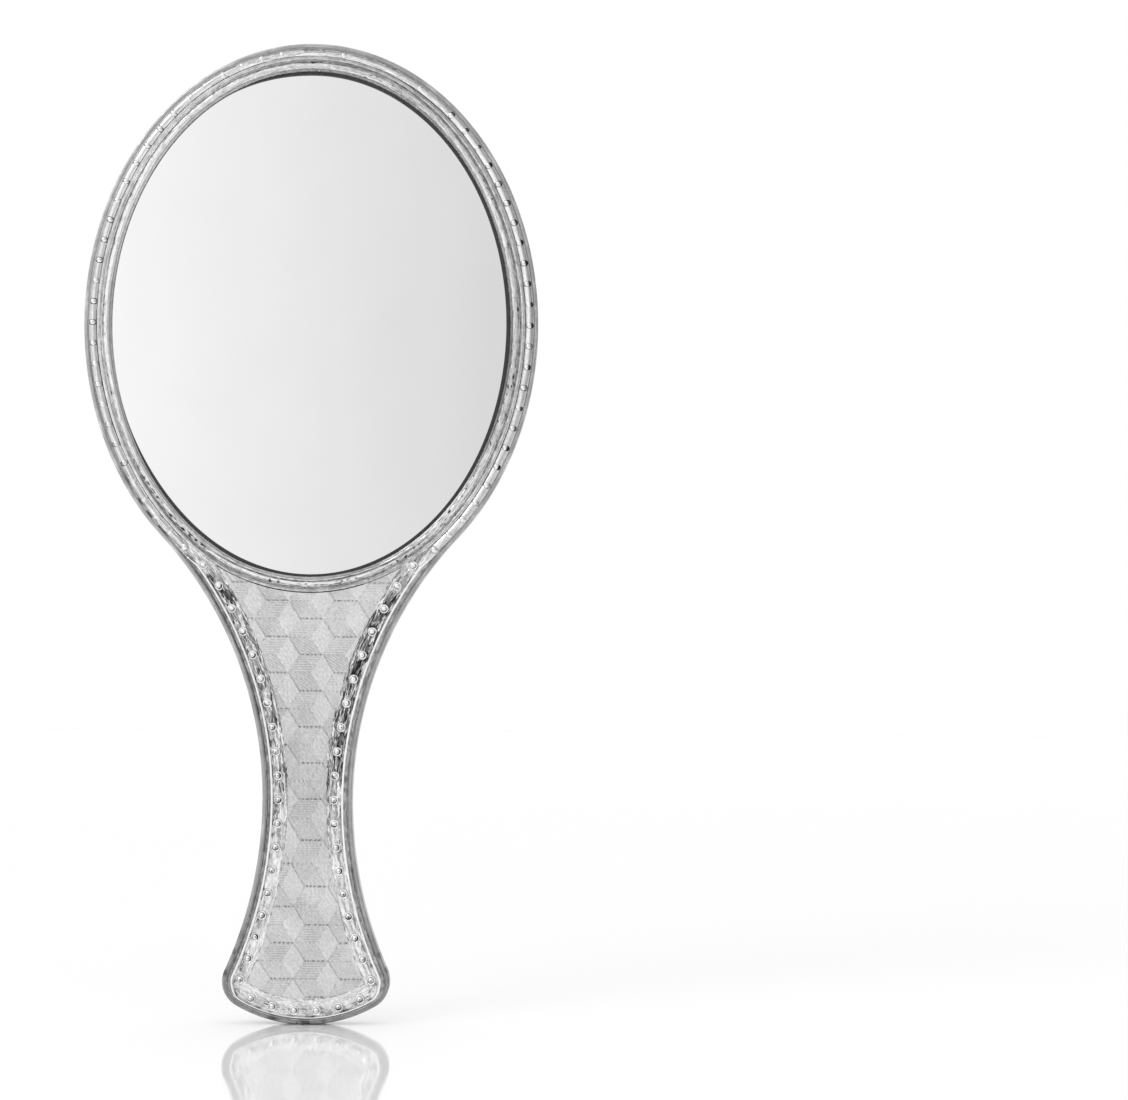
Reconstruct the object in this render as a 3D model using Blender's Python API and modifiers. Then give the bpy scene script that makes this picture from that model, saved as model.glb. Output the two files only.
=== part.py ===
"""Hand mirror: an oval glass in a stepped, beaded rim, on a waisted handle with a set-in panel.

The pieces are modelled lying flat, with x to the right, y along the handle and z towards the
viewer. Their parent empty stands the mirror upright, with the glass facing -Y. The origin is
the middle of the waist, where a hand holds the mirror. Lengths are in metres.

A plan point's inset is its distance inwards from the mirror's outline. The front frame and the
back shell meet at height zero, with the tongue of the edge trim between them.
"""

import math

import bmesh
import bpy

# Outline: an ellipse for the head, an arc down to the waist, an arc out to the foot
LENGTH = 0.2800
HEAD_WIDTH = 0.1296
HEAD_HEIGHT = 0.1602
WAIST_WIDTH = 0.0256
WAIST_HEIGHT = 0.0640
FOOT_WIDTH = 0.0478
FOOT_RADIUS = 0.0400
FOOT_CORNER_RADIUS = 0.0079
LEAST_CORNER_RADIUS = 0.0012
LEAST_NECK_ANGLE = math.radians(-85)
MOST_NECK_ANGLE = math.radians(-15)

# Clearances
SEAT_GAP = 0.0003
INLAY_GAP = 0.0002

# Edge trim, a T-section strip pressed between the two halves
TRIM_THICKNESS = 0.0008
TRIM_WIDTH = 0.0060
TRIM_ROUNDING = 0.0005
TONGUE_DEPTH = 0.0018
TONGUE_THICKNESS = 0.0008
TRIM_JOINT_GAP = 0.0004
TRIM_JOINT_OFFSET = 0.0023

# Glass and what holds it
GLASS_THICKNESS = 0.0030
GLASS_ARRIS = 0.0003
GLASS_COVER = 0.0023
GASKET_THICKNESS = 0.0006
GASKET_WALL = 0.0008
GASKET_SHOW = 0.0003
CARD_THICKNESS = 0.0010

# Front frame
FRAME_DEPTH = 0.0021
FILLET_WIDTH = 0.0010
FILLET_HEIGHT = 0.0014
GROOVE_WIDTH = 0.0003
GROOVE_DEPTH = 0.0005
RIDGE_WIDTH = 0.0007
RIDGE_HEIGHT = 0.0021
BEVEL_DROP = 0.0008
BEZEL_SLOPE = 0.0011
BEZEL_LIFT = 0.0001
MOULDING_FOOT = 0.0008
CAVITY_MOUTH = 0.0004
CAVITY_LEAD = 0.0003
LIP_STEP = 0.0002
LIP_WIDTH = 0.0015
LIP_HEIGHT = 0.0022
LIP_ROUNDING = 0.0005
FUSE_DEPTH = 0.0008

# Beading on the rim and studs on the handle
BEAD_PITCH = 0.00595
BEAD_RADIUS = 0.00115
BAR_RADIUS = 0.00085
STRIP_THICKNESS = 0.0005
STRIP_WIDTH = 0.0039
STUD_PITCH = 0.0066
STUD_RADIUS = 0.0012
STUD_SINK = 0.0003
BEADING_END_RUN = 0.0085
STUDS_START_RUN = 0.0155

# Panel in the handle
INLAY_THICKNESS = 0.0010
INLAY_PROUD = 0.0008
TAPE_THICKNESS = 0.0002
TAPE_MARGIN = 0.0013
INLAY_HEAD_GAP = 0.0003

# Back shell
SHELL_DEPTH = 0.0051
SHELL_FLOOR = 0.0016
SHELL_WALL = 0.0018
SHELL_ROUNDING = 0.0024
LEDGE_WIDTH = 0.0048
RIB_INSET = 0.0300
RIB_WIDTH = 0.0016
NECK_WALL = 0.0040

# Screws under the panel
SCREW_HEAD_DISTANCE = 0.016
SCREW_FOOT_DISTANCE = 0.028
SCREW_RADIUS = 0.0011
SCREW_HEAD_RADIUS = 0.0023
SCREW_HEAD_DEPTH = 0.0011
SCREW_HEAD_SINK = 0.0001
SCREW_POINT = 0.0006
SCREW_END_GAP = 0.0004
RECESS_LENGTH = 0.0026
RECESS_WIDTH = 0.0006
RECESS_DEPTH = 0.0007
BOSS_RADIUS = 0.0030
HOLE_END_WALL = 0.0014

# Fineness
HALVINGS = 60
SHARP_ANGLE = math.radians(30)
WELD_DISTANCE = 1e-6
HEAD_STEPS = 32
NECK_STEPS = 9
FLARE_STEPS = 7
CORNER_STEPS = 6
FOOT_STEPS = 5
RING_STEPS = 72
ROUND_STEPS = 16
DOME_STEPS = 8
BAR_STEPS = 4
BEAD_SHARES = (-1, -0.6, 0, 0.6, 1)
PATH_STEPS = 640
LIP_SEGMENTS = 2
SHELL_SEGMENTS = 3
ARRIS_SEGMENTS = 1
CUT_OVERRUN = 0.0020

# Heights that follow from the sizes above
FRAME_LOW = TONGUE_THICKNESS / 2 + SEAT_GAP
FRAME_FLOOR = FRAME_LOW + FRAME_DEPTH
SHELL_TOP = -FRAME_LOW
SHELL_BACK = SHELL_TOP - SHELL_DEPTH
BEZEL_UNDER = FRAME_FLOOR + BEZEL_LIFT
GASKET_FRONT = BEZEL_UNDER - SEAT_GAP
GLASS_FRONT = GASKET_FRONT - GASKET_THICKNESS - SEAT_GAP
GLASS_BACK = GLASS_FRONT - GLASS_THICKNESS
CARD_FRONT = GLASS_BACK - SEAT_GAP
CARD_BACK = CARD_FRONT - CARD_THICKNESS
LEDGE_TOP = CARD_BACK - SEAT_GAP
SHELL_INSIDE = SHELL_BACK + SHELL_FLOOR
INLAY_FRONT = FRAME_FLOOR + INLAY_PROUD
INLAY_BACK = INLAY_FRONT - INLAY_THICKNESS
TAPE_FRONT = INLAY_BACK - SEAT_GAP
TAPE_BACK = TAPE_FRONT - TAPE_THICKNESS
POCKET_FLOOR = TAPE_BACK - SEAT_GAP
STRIP_LOW = FRAME_FLOOR + SEAT_GAP
STRIP_TOP = STRIP_LOW + STRIP_THICKNESS

# Insets that follow from the sizes above
BODY_INSET = TRIM_THICKNESS + SEAT_GAP
BEAD_INSET = BODY_INSET + BEAD_RADIUS
MOULDING_INSET = BEAD_INSET + BEAD_RADIUS + SEAT_GAP
CAVITY_INSET = MOULDING_INSET + MOULDING_FOOT
GASKET_INSET = CAVITY_INSET + SEAT_GAP
GLASS_INSET = GASKET_INSET + GASKET_WALL + SEAT_GAP
BEZEL_INSET = GLASS_INSET + GLASS_COVER
LIP_INSET = BODY_INSET + LIP_STEP
STRIP_INSET = LIP_INSET + LIP_WIDTH + SEAT_GAP
STUD_INSET = STRIP_INSET + STRIP_WIDTH / 2
INLAY_INSET = STRIP_INSET + STRIP_WIDTH + SEAT_GAP
POCKET_INSET = INLAY_INSET - INLAY_GAP
POCKET_HEAD_INSET = MOULDING_INSET - INLAY_HEAD_GAP

# Centres and radii of the outline
HEAD_A = HEAD_WIDTH / 2
HEAD_B = HEAD_HEIGHT / 2
HEAD_Y = LENGTH - WAIST_HEIGHT - HEAD_B
WAIST = WAIST_WIDTH / 2
FOOT_Y = FOOT_RADIUS - WAIST_HEIGHT
CORNER_X = FOOT_WIDTH / 2 - FOOT_CORNER_RADIUS
CORNER_Y = FOOT_Y - math.sqrt((FOOT_RADIUS - FOOT_CORNER_RADIUS) ** 2 - CORNER_X**2)

# Places of the screws along the handle
UPPER_SCREW = HEAD_Y - HEAD_B - SCREW_HEAD_DISTANCE
LOWER_SCREW = SCREW_FOOT_DISTANCE - WAIST_HEIGHT
SCREW_PLACES = {
    "upper": UPPER_SCREW,
    "middle": (UPPER_SCREW + LOWER_SCREW) / 2,
    "lower": LOWER_SCREW,
}


def head_normal(angle):
    """Give the outward direction of the head's ellipse at an angle."""
    across = math.cos(angle) / HEAD_A
    along = math.sin(angle) / HEAD_B
    size = math.hypot(across, along)
    return across / size, along / size


def head_point(angle, inset):
    """Give the point at an ellipse angle on the curve that runs inside the head's edge."""
    out_x, out_y = head_normal(angle)
    x = HEAD_A * math.cos(angle) - inset * out_x
    y = HEAD_Y + HEAD_B * math.sin(angle) - inset * out_y
    return x, y


def neck_radius(angle):
    """Give the radius of the arc that touches the head at an angle and has its centre at waist height."""
    return -head_point(angle, 0)[1] / head_normal(angle)[1]


def neck_error(angle):
    """Give how far outside the waist that arc passes."""
    return head_point(angle, 0)[0] + neck_radius(angle) * (head_normal(angle)[0] - 1) - WAIST


def neck_angle():
    """Find the ellipse angle where the arc to the waist leaves the head, by halving."""
    low = LEAST_NECK_ANGLE
    high = MOST_NECK_ANGLE
    for _ in range(HALVINGS):
        middle = (low + high) / 2
        if neck_error(middle) > 0:
            high = middle
        else:
            low = middle
    return low


NECK_ANGLE = neck_angle()
NECK_RADIUS = neck_radius(NECK_ANGLE)
FLARE_RISE = (WAIST - CORNER_X) ** 2 + CORNER_Y**2 - FOOT_CORNER_RADIUS**2
FLARE_RADIUS = FLARE_RISE / (2 * (FOOT_CORNER_RADIUS - WAIST + CORNER_X))
NECK_X = WAIST + NECK_RADIUS
FLARE_X = WAIST + FLARE_RADIUS


def steps(start, end, count):
    """Give evenly spaced values from start up to, but without, end."""
    return [start + (end - start) * i / count for i in range(count)]


def arc(x, y, radius, angles):
    """Give points on a circle at the given angles."""
    return [(x + radius * math.cos(a), y + radius * math.sin(a)) for a in angles]


def corner_centre(inset, radius):
    """Give the centre of a corner that touches the flare's arc and the foot's arc at an inset."""
    from_flare = FLARE_RADIUS + inset + radius
    from_foot = FOOT_RADIUS - inset - radius
    span = math.hypot(FLARE_X, FOOT_Y)
    along = (span**2 + from_foot**2 - from_flare**2) / (2 * span)
    side = math.sqrt(from_foot**2 - along**2)
    unit_x = FLARE_X / span
    unit_y = -FOOT_Y / span
    return along * unit_x + side * unit_y, FOOT_Y + along * unit_y - side * unit_x


def neck_start():
    """Give the angle, about the neck arc's centre, where that arc leaves the head."""
    x, y = head_point(NECK_ANGLE, 0)
    return math.atan2(y, x - NECK_X)


def handle_side(inset, run):
    """Give the right-hand side from a run below the head to the foot's middle."""
    radius = max(FOOT_CORNER_RADIUS - inset, LEAST_CORNER_RADIUS)
    corner_x, corner_y = corner_centre(inset, radius)
    flare_end = 2 * math.pi + math.atan2(corner_y, corner_x - FLARE_X)
    corner_start = math.atan2(-corner_y, FLARE_X - corner_x)
    corner_end = math.atan2(corner_y - FOOT_Y, corner_x)
    neck_from = neck_start() + run / NECK_RADIUS
    neck = arc(NECK_X, 0, NECK_RADIUS + inset, steps(neck_from, math.pi, NECK_STEPS))
    flare = arc(FLARE_X, 0, FLARE_RADIUS + inset, steps(math.pi, flare_end, FLARE_STEPS))
    corner = arc(corner_x, corner_y, radius, steps(corner_start, corner_end, CORNER_STEPS))
    foot = arc(0, FOOT_Y, FOOT_RADIUS - inset, steps(corner_end, -math.pi / 2, FOOT_STEPS))
    return neck + flare + corner + foot


def mirrored(side, first, last):
    """Close a right-hand side into a loop from the top middle to the bottom middle and back."""
    left = [(-x, y) for x, y in reversed(side)]
    return [first] + side + [last] + left


def outline(inset):
    """Give the whole outline at an inset, as a loop that starts at the top of the head."""
    angles = steps(math.pi / 2, NECK_ANGLE, HEAD_STEPS)
    head = [head_point(angle, inset) for angle in angles]
    side = head[1:] + handle_side(inset, 0)
    return mirrored(side, head[0], (0, FOOT_Y - FOOT_RADIUS + inset))


def head_loop(inset):
    """Give the closed oval at an inset from the head's edge."""
    return [head_point(angle, inset) for angle in steps(0, 2 * math.pi, RING_STEPS)]


def handle_run(inset, run):
    """Give the open U from the right of the neck round the foot to the left of the neck."""
    side = handle_side(inset, run)
    return mirrored(side, side[0], (0, FOOT_Y - FOOT_RADIUS + inset))[1:]


def fresh_collection(name):
    """Add a collection to the scene."""
    collection = bpy.data.collections.new(name)
    bpy.context.scene.collection.children.link(collection)
    return collection


def material(name, colour, roughness, metallic):
    """Make a Principled material."""
    made = bpy.data.materials.new(name)
    made.use_nodes = True
    shader = made.node_tree.nodes["Principled BSDF"]
    shader.inputs["Base Color"].default_value = (*colour, 1.0)
    shader.inputs["Roughness"].default_value = roughness
    shader.inputs["Metallic"].default_value = metallic
    return made


for old in list(bpy.data.objects):
    bpy.data.objects.remove(old)
PARTS = fresh_collection("hand_mirror")
CUTTERS = fresh_collection("hand_mirror_cutters")
STAND = bpy.data.objects.new("mirror_stand", None)
STAND.rotation_euler.x = math.pi / 2
PARTS.objects.link(STAND)

SILVER_PLATE = material("silver_plate", (0.72, 0.72, 0.72), 0.22, 1.0)
BRIGHT_PLATE = material("bright_plate", (0.80, 0.80, 0.80), 0.10, 1.0)
SATIN_PLATE = material("satin_plate", (0.66, 0.66, 0.66), 0.45, 1.0)
SILVERED_GLASS = material("silvered_glass", (0.86, 0.87, 0.87), 0.02, 1.0)
DARK_RUBBER = material("dark_rubber", (0.03, 0.03, 0.03), 0.60, 0.0)
GREY_CARD = material("grey_card", (0.45, 0.43, 0.40), 0.90, 0.0)
CLEAR_TAPE = material("clear_tape", (0.80, 0.79, 0.74), 0.40, 0.0)
ZINC_STEEL = material("zinc_steel", (0.60, 0.60, 0.60), 0.35, 1.0)


def as_part(item, finish):
    """Put an object among the parts, on the stand, with its finish and smooth round faces."""
    PARTS.objects.link(item)
    item.parent = STAND
    item.data.materials.append(finish)
    item.data.shade_smooth()
    item.data.set_sharp_from_angle(angle=SHARP_ANGLE)
    return item


def as_cutter(item):
    """Put an object among the cutters, on the stand."""
    CUTTERS.objects.link(item)
    item.parent = STAND
    item.hide_render = True
    item.display_type = "WIRE"
    return item


def curve_object(name, loops, closed):
    """Make a flat curve object of straight-sided splines through lists of plan points."""
    curve = bpy.data.curves.new(name, "CURVE")
    curve.dimensions = "2D"
    curve.fill_mode = "BOTH"
    for loop in loops:
        spline = curve.splines.new("POLY")
        spline.points.add(len(loop) - 1)
        for point, (x, y) in zip(spline.points, loop):
            point.co = (x, y, 0, 1)
        spline.use_cyclic_u = closed
    item = bpy.data.objects.new(name, curve)
    bpy.context.scene.collection.objects.link(item)
    return item


def curve_to_mesh(item):
    """Turn a curve object into a mesh object with welded caps and outward faces."""
    graph = bpy.context.evaluated_depsgraph_get()
    mesh = bpy.data.meshes.new_from_object(item.evaluated_get(graph))
    work = bmesh.new()
    work.from_mesh(mesh)
    bmesh.ops.remove_doubles(work, verts=work.verts, dist=WELD_DISTANCE)
    bmesh.ops.recalc_face_normals(work, faces=work.faces)
    work.to_mesh(mesh)
    work.free()
    name = item.name
    place = item.matrix_world.copy()
    bpy.data.objects.remove(item)
    made = bpy.data.objects.new(name, mesh)
    made.matrix_world = place
    return made


def plate(name, loops, low, high):
    """Extrude an outer loop, with any holes after it, between two heights."""
    item = curve_object(name, loops, True)
    item.data.extrude = (high - low) / 2
    item.location.z = (low + high) / 2
    bpy.context.view_layer.update()
    return curve_to_mesh(item)


def sweep(name, path, profile, height=0, closed=True, swell=None):
    """Carry a closed profile of (inset, height) points along a path, swelling it point by point."""
    item = curve_object(name, [path], closed)
    guide = curve_object(name + "_profile", [profile], True)
    item.data.bevel_mode = "OBJECT"
    item.data.bevel_object = guide
    item.data.use_fill_caps = True
    item.location.z = height
    for point, radius in zip(item.data.splines[0].points, swell or []):
        point.radius = radius
    bpy.context.view_layer.update()
    made = curve_to_mesh(item)
    bpy.data.objects.remove(guide)
    return made


def cut(item, cutter, operation="DIFFERENCE"):
    """Add an exact Boolean to an object."""
    change = item.modifiers.new(cutter.name, "BOOLEAN")
    change.operation = operation
    change.object = cutter
    return item


def round_edges(item, height, width, segments):
    """Round the sharp edges of a plate that lie at one height."""
    level = height - item.location.z
    work = bmesh.new()
    work.from_mesh(item.data)
    weights = work.edges.layers.float.new("bevel_weight_edge")
    for edge in work.edges:
        at_level = all(abs(end.co.z - level) < WELD_DISTANCE for end in edge.verts)
        if at_level and edge.calc_face_angle() > SHARP_ANGLE:
            edge[weights] = 1.0
    work.to_mesh(item.data)
    work.free()
    rounding = item.modifiers.new("rounding", "BEVEL")
    rounding.limit_method = "WEIGHT"
    rounding.width = width
    rounding.segments = segments
    return item


def turned(name, profile, place_y):
    """Turn a profile of (radius, height) points, given from the top down, about an upright axis."""
    mesh = bpy.data.meshes.new(name)
    points = [(radius, 0, height) for radius, height in profile]
    mesh.from_pydata(points, [(i, i + 1) for i in range(len(points) - 1)], [])
    item = bpy.data.objects.new(name, mesh)
    item.location.y = place_y
    screw = item.modifiers.new("turn", "SCREW")
    screw.steps = ROUND_STEPS
    screw.render_steps = ROUND_STEPS
    screw.use_merge_vertices = True
    screw.merge_threshold = WELD_DISTANCE
    return item


def handle_plate(name, inset, head_inset, low, high):
    """Make the plate that fills the handle inside an inset and stops short of the head."""
    made = plate(name, [outline(inset)], low, high)
    head = plate(name + "_head_cut", [head_loop(head_inset)], low - CUT_OVERRUN, high + CUT_OVERRUN)
    return cut(made, as_cutter(head))


def junction_height():
    """Give the height on the handle where the rim's beading ends and the stud strip starts."""
    angle = neck_start() + BEADING_END_RUN / NECK_RADIUS
    return (NECK_RADIUS + STRIP_INSET) * math.sin(angle)


def rim_profile():
    """Give the section of the rim's mouldings: fillet, groove, ridge, bevel and bezel."""
    fillet_end = MOULDING_INSET + FILLET_WIDTH
    ridge_start = fillet_end + GROOVE_WIDTH
    ridge_end = ridge_start + RIDGE_WIDTH
    bevel_end = BEZEL_INSET - BEZEL_SLOPE
    fillet = FRAME_FLOOR + FILLET_HEIGHT
    ridge = FRAME_FLOOR + RIDGE_HEIGHT
    groove = fillet - GROOVE_DEPTH
    ease = GROOVE_WIDTH / 2
    foot = FRAME_LOW + CAVITY_LEAD
    return [
        (MOULDING_INSET, foot),
        (MOULDING_INSET, fillet - ease),
        (MOULDING_INSET + ease, fillet),
        (fillet_end - ease, fillet),
        (fillet_end, groove),
        (ridge_start, groove),
        (ridge_start, ridge - ease),
        (ridge_start + ease, ridge),
        (ridge_end, ridge),
        (bevel_end, ridge - BEVEL_DROP),
        (BEZEL_INSET, BEZEL_UNDER),
        (CAVITY_INSET, BEZEL_UNDER),
        (CAVITY_INSET, foot),
    ]


def front_frame():
    """Make the front moulding: body, rim, handle lip, panel recess and screw holes."""
    mouth = head_loop(CAVITY_INSET - CAVITY_MOUTH)
    frame = plate("front_frame", [outline(BODY_INSET), mouth], FRAME_LOW, FRAME_FLOOR)
    rim = sweep("rim_moulding", head_loop(0), rim_profile())
    cut(frame, as_cutter(rim), "UNION")

    lip_top = FRAME_FLOOR + LIP_HEIGHT
    lip_loops = [outline(LIP_INSET), outline(LIP_INSET + LIP_WIDTH)]
    lip = plate("handle_lip", lip_loops, FRAME_FLOOR - FUSE_DEPTH, lip_top)
    round_edges(lip, lip_top, LIP_ROUNDING, LIP_SEGMENTS)
    head = head_loop(BEAD_INSET - BEAD_RADIUS - SEAT_GAP)
    lip_cut = plate("lip_cut", [head], FRAME_FLOOR - CUT_OVERRUN, lip_top + CUT_OVERRUN)
    cut(lip, as_cutter(lip_cut))
    cut(frame, as_cutter(lip), "UNION")

    pocket_top = FRAME_FLOOR + CUT_OVERRUN
    pocket = handle_plate("panel_pocket", POCKET_INSET, POCKET_HEAD_INSET, POCKET_FLOOR, pocket_top)
    cut(frame, as_cutter(pocket))
    for place, y in SCREW_PLACES.items():
        shank = SCREW_RADIUS + SEAT_GAP
        head_top = POCKET_FLOOR + SEAT_GAP
        rise = SCREW_HEAD_RADIUS - SCREW_RADIUS + head_top - POCKET_FLOOR + SCREW_HEAD_SINK
        hole = [
            (0, head_top),
            (shank + rise, head_top),
            (shank, head_top - rise * SCREW_HEAD_DEPTH / (SCREW_HEAD_RADIUS - SCREW_RADIUS)),
            (shank, FRAME_LOW - CUT_OVERRUN),
            (0, FRAME_LOW - CUT_OVERRUN),
        ]
        cut(frame, as_cutter(turned("screw_way_" + place, hole, y)))
    return as_part(frame, SILVER_PLATE)


def back_shell():
    """Make the rear tray: flat back, glass ledge, rib, handle hollow and screw bosses."""
    shell = plate("back_shell", [outline(BODY_INSET)], SHELL_BACK, SHELL_TOP)
    round_edges(shell, SHELL_BACK, SHELL_ROUNDING, SHELL_SEGMENTS)
    above = SHELL_TOP + CUT_OVERRUN
    seat = plate("glass_seat", [head_loop(CAVITY_INSET)], LEDGE_TOP, above)
    cut(shell, as_cutter(seat))
    rib_loops = [head_loop(RIB_INSET), head_loop(RIB_INSET + RIB_WIDTH)]
    outer_loops = [head_loop(CAVITY_INSET + LEDGE_WIDTH), rib_loops[0]]
    outer = plate("outer_hollow", outer_loops, SHELL_INSIDE, LEDGE_TOP + CUT_OVERRUN)
    cut(shell, as_cutter(outer))
    inner = plate("inner_hollow", [rib_loops[1]], SHELL_INSIDE, LEDGE_TOP + CUT_OVERRUN)
    cut(shell, as_cutter(inner))
    hollow_inset = BODY_INSET + SHELL_WALL
    hollow = handle_plate("handle_hollow", hollow_inset, -NECK_WALL, SHELL_INSIDE, above)
    cut(shell, as_cutter(hollow))
    boss_top = FRAME_LOW - SEAT_GAP
    boss_low = SHELL_INSIDE - FUSE_DEPTH
    for place, y in SCREW_PLACES.items():
        boss = [(0, boss_top), (BOSS_RADIUS, boss_top), (BOSS_RADIUS, boss_low), (0, boss_low)]
        cut(shell, as_cutter(turned("screw_boss_" + place, boss, y)), "UNION")
        hole_end = SHELL_BACK + HOLE_END_WALL
        bore = SCREW_RADIUS + SEAT_GAP
        top = boss_top + CUT_OVERRUN
        hole = [(0, top), (bore, top), (bore, hole_end), (0, hole_end)]
        cut(shell, as_cutter(turned("screw_hole_" + place, hole, y)))
    return as_part(shell, SILVER_PLATE)


def edge_trim():
    """Make the T-section strip round the outline, with its two ends meeting at the foot."""
    half = TRIM_WIDTH / 2
    tongue = TONGUE_THICKNESS / 2
    tip = TRIM_THICKNESS + TONGUE_DEPTH
    upper = [
        (0, half - TRIM_ROUNDING),
        (TRIM_ROUNDING, half),
        (TRIM_THICKNESS, half),
        (TRIM_THICKNESS, tongue),
        (tip, tongue),
    ]
    profile = upper + [(inset, -height) for inset, height in reversed(upper)]
    trim = sweep("edge_trim", outline(0), profile)
    joint = bpy.data.meshes.new("trim_joint")
    work = bmesh.new()
    bmesh.ops.create_cube(work, size=1)
    size = (TRIM_JOINT_GAP, 2 * tip + CUT_OVERRUN, TRIM_WIDTH + CUT_OVERRUN)
    bmesh.ops.scale(work, vec=size, verts=work.verts)
    work.to_mesh(joint)
    work.free()
    saw = bpy.data.objects.new("trim_joint", joint)
    saw.location = (-TRIM_JOINT_OFFSET, FOOT_Y - FOOT_RADIUS, 0)
    cut(trim, as_cutter(saw))
    return as_part(trim, SILVER_PLATE)


def glass_pieces():
    """Make the glass, the gasket round its front edge and the card behind it."""
    glass = plate("mirror_glass", [head_loop(GLASS_INSET)], GLASS_BACK, GLASS_FRONT)
    round_edges(glass, GLASS_FRONT, GLASS_ARRIS, ARRIS_SEGMENTS)
    as_part(glass, SILVERED_GLASS)
    leg = GASKET_FRONT - GASKET_THICKNESS
    wall = GASKET_INSET + GASKET_WALL
    section = [
        (BEZEL_INSET + GASKET_SHOW, GASKET_FRONT),
        (BEZEL_INSET + GASKET_SHOW, leg),
        (wall, leg),
        (wall, GLASS_BACK),
        (GASKET_INSET, GLASS_BACK),
        (GASKET_INSET, GASKET_FRONT),
    ]
    as_part(sweep("glass_gasket", head_loop(0), section), DARK_RUBBER)
    card = plate("backing_card", [head_loop(GLASS_INSET)], CARD_BACK, CARD_FRONT)
    as_part(card, GREY_CARD)


def path_lengths(path):
    """Give the distance along an open path at each of its points."""
    lengths = [0]
    for (x0, y0), (x1, y1) in zip(path, path[1:]):
        lengths.append(lengths[-1] + math.hypot(x1 - x0, y1 - y0))
    return lengths


def along_path(path, distances):
    """Give the points at some distances along an open path."""
    lengths = path_lengths(path)
    points = []
    for distance in distances:
        i = next((i for i, end in enumerate(lengths) if end >= distance and i > 0), len(path) - 1)
        share = (distance - lengths[i - 1]) / (lengths[i] - lengths[i - 1])
        x = path[i - 1][0] + share * (path[i][0] - path[i - 1][0])
        y = path[i - 1][1] + share * (path[i][1] - path[i - 1][1])
        points.append((x, y))
    return points


def rim_bead_strip():
    """Make the half-round beading: a bar that swells to a bead at every pitch along the rim."""
    end_y = junction_height() + BEAD_RADIUS + SEAT_GAP
    end = math.asin((end_y - HEAD_Y) / (HEAD_B - BEAD_INSET))
    angles = steps(end, math.pi - end, PATH_STEPS) + [math.pi - end]
    path = [head_point(angle, BEAD_INSET) for angle in angles]
    length = path_lengths(path)[-1]
    beads = round(length / BEAD_PITCH)
    distances = [0]
    radii = [BAR_RADIUS]
    for k in range(beads):
        middle = (k + 0.5) * length / beads
        for share in BEAD_SHARES:
            distances.append(middle + share * BEAD_RADIUS)
            radii.append(max(BAR_RADIUS, BEAD_RADIUS * math.sqrt(1 - share**2)))
    distances.append(length)
    radii.append(BAR_RADIUS)
    swell = [radius / BAR_RADIUS for radius in radii]
    section = arc(0, 0, BAR_RADIUS, steps(0, math.pi, BAR_STEPS)) + [(-BAR_RADIUS, 0)]
    strip = sweep("rim_bead_strip", along_path(path, distances), section, STRIP_LOW, False, swell)
    return as_part(strip, BRIGHT_PLATE)


def stud_domes():
    """Make the domes of the handle's studs, flat below, evenly spaced round the handle."""
    path = handle_run(STUD_INSET, STUDS_START_RUN)
    length = path_lengths(path)[-1]
    studs = 2 * round((length / STUD_PITCH + 1) / 2)
    places = [length * k / (studs - 1) for k in range(studs)]
    work = bmesh.new()
    for x, y in along_path(path, places):
        ball = bmesh.ops.create_uvsphere(
            work, u_segments=DOME_STEPS, v_segments=DOME_STEPS - 2, radius=STUD_RADIUS
        )
        bmesh.ops.translate(work, vec=(x, y, STRIP_TOP), verts=ball["verts"])
    everything = work.verts[:] + work.edges[:] + work.faces[:]
    base = (0, 0, STRIP_TOP - STUD_SINK)
    bmesh.ops.bisect_plane(work, geom=everything, plane_co=base, plane_no=(0, 0, 1), clear_inner=True)
    bmesh.ops.holes_fill(work, edges=work.edges)
    bmesh.ops.recalc_face_normals(work, faces=work.faces)
    mesh = bpy.data.meshes.new("stud_domes")
    work.to_mesh(mesh)
    work.free()
    return as_cutter(bpy.data.objects.new("stud_domes", mesh))


def handle_stud_strip():
    """Make the flat strip in the handle's channel, with its domed studs."""
    loops = [outline(STRIP_INSET), outline(STRIP_INSET + STRIP_WIDTH)]
    strip = plate("handle_stud_strip", loops, STRIP_LOW, STRIP_TOP)
    low = STRIP_LOW - CUT_OVERRUN
    high = STRIP_TOP + CUT_OVERRUN
    head = plate("strip_head_cut", [head_loop(POCKET_HEAD_INSET)], low, high)
    cut(strip, as_cutter(head))
    side = HEAD_WIDTH / 2
    top = LENGTH
    end = junction_height()
    above = plate("strip_end_cut", [[(side, end), (side, top), (-side, top), (-side, end)]], low, high)
    cut(strip, as_cutter(above))
    cut(strip, stud_domes(), "UNION")
    return as_part(strip, BRIGHT_PLATE)


def handle_panel():
    """Make the set-in panel and the adhesive film under it."""
    head_inset = POCKET_HEAD_INSET - INLAY_GAP
    inlay = handle_plate("handle_inlay", INLAY_INSET, head_inset, INLAY_BACK, INLAY_FRONT)
    as_part(inlay, SATIN_PLATE)
    tape_inset = INLAY_INSET + TAPE_MARGIN
    tape = handle_plate("inlay_tape", tape_inset, head_inset - TAPE_MARGIN, TAPE_BACK, TAPE_FRONT)
    as_part(tape, CLEAR_TAPE)


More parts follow.
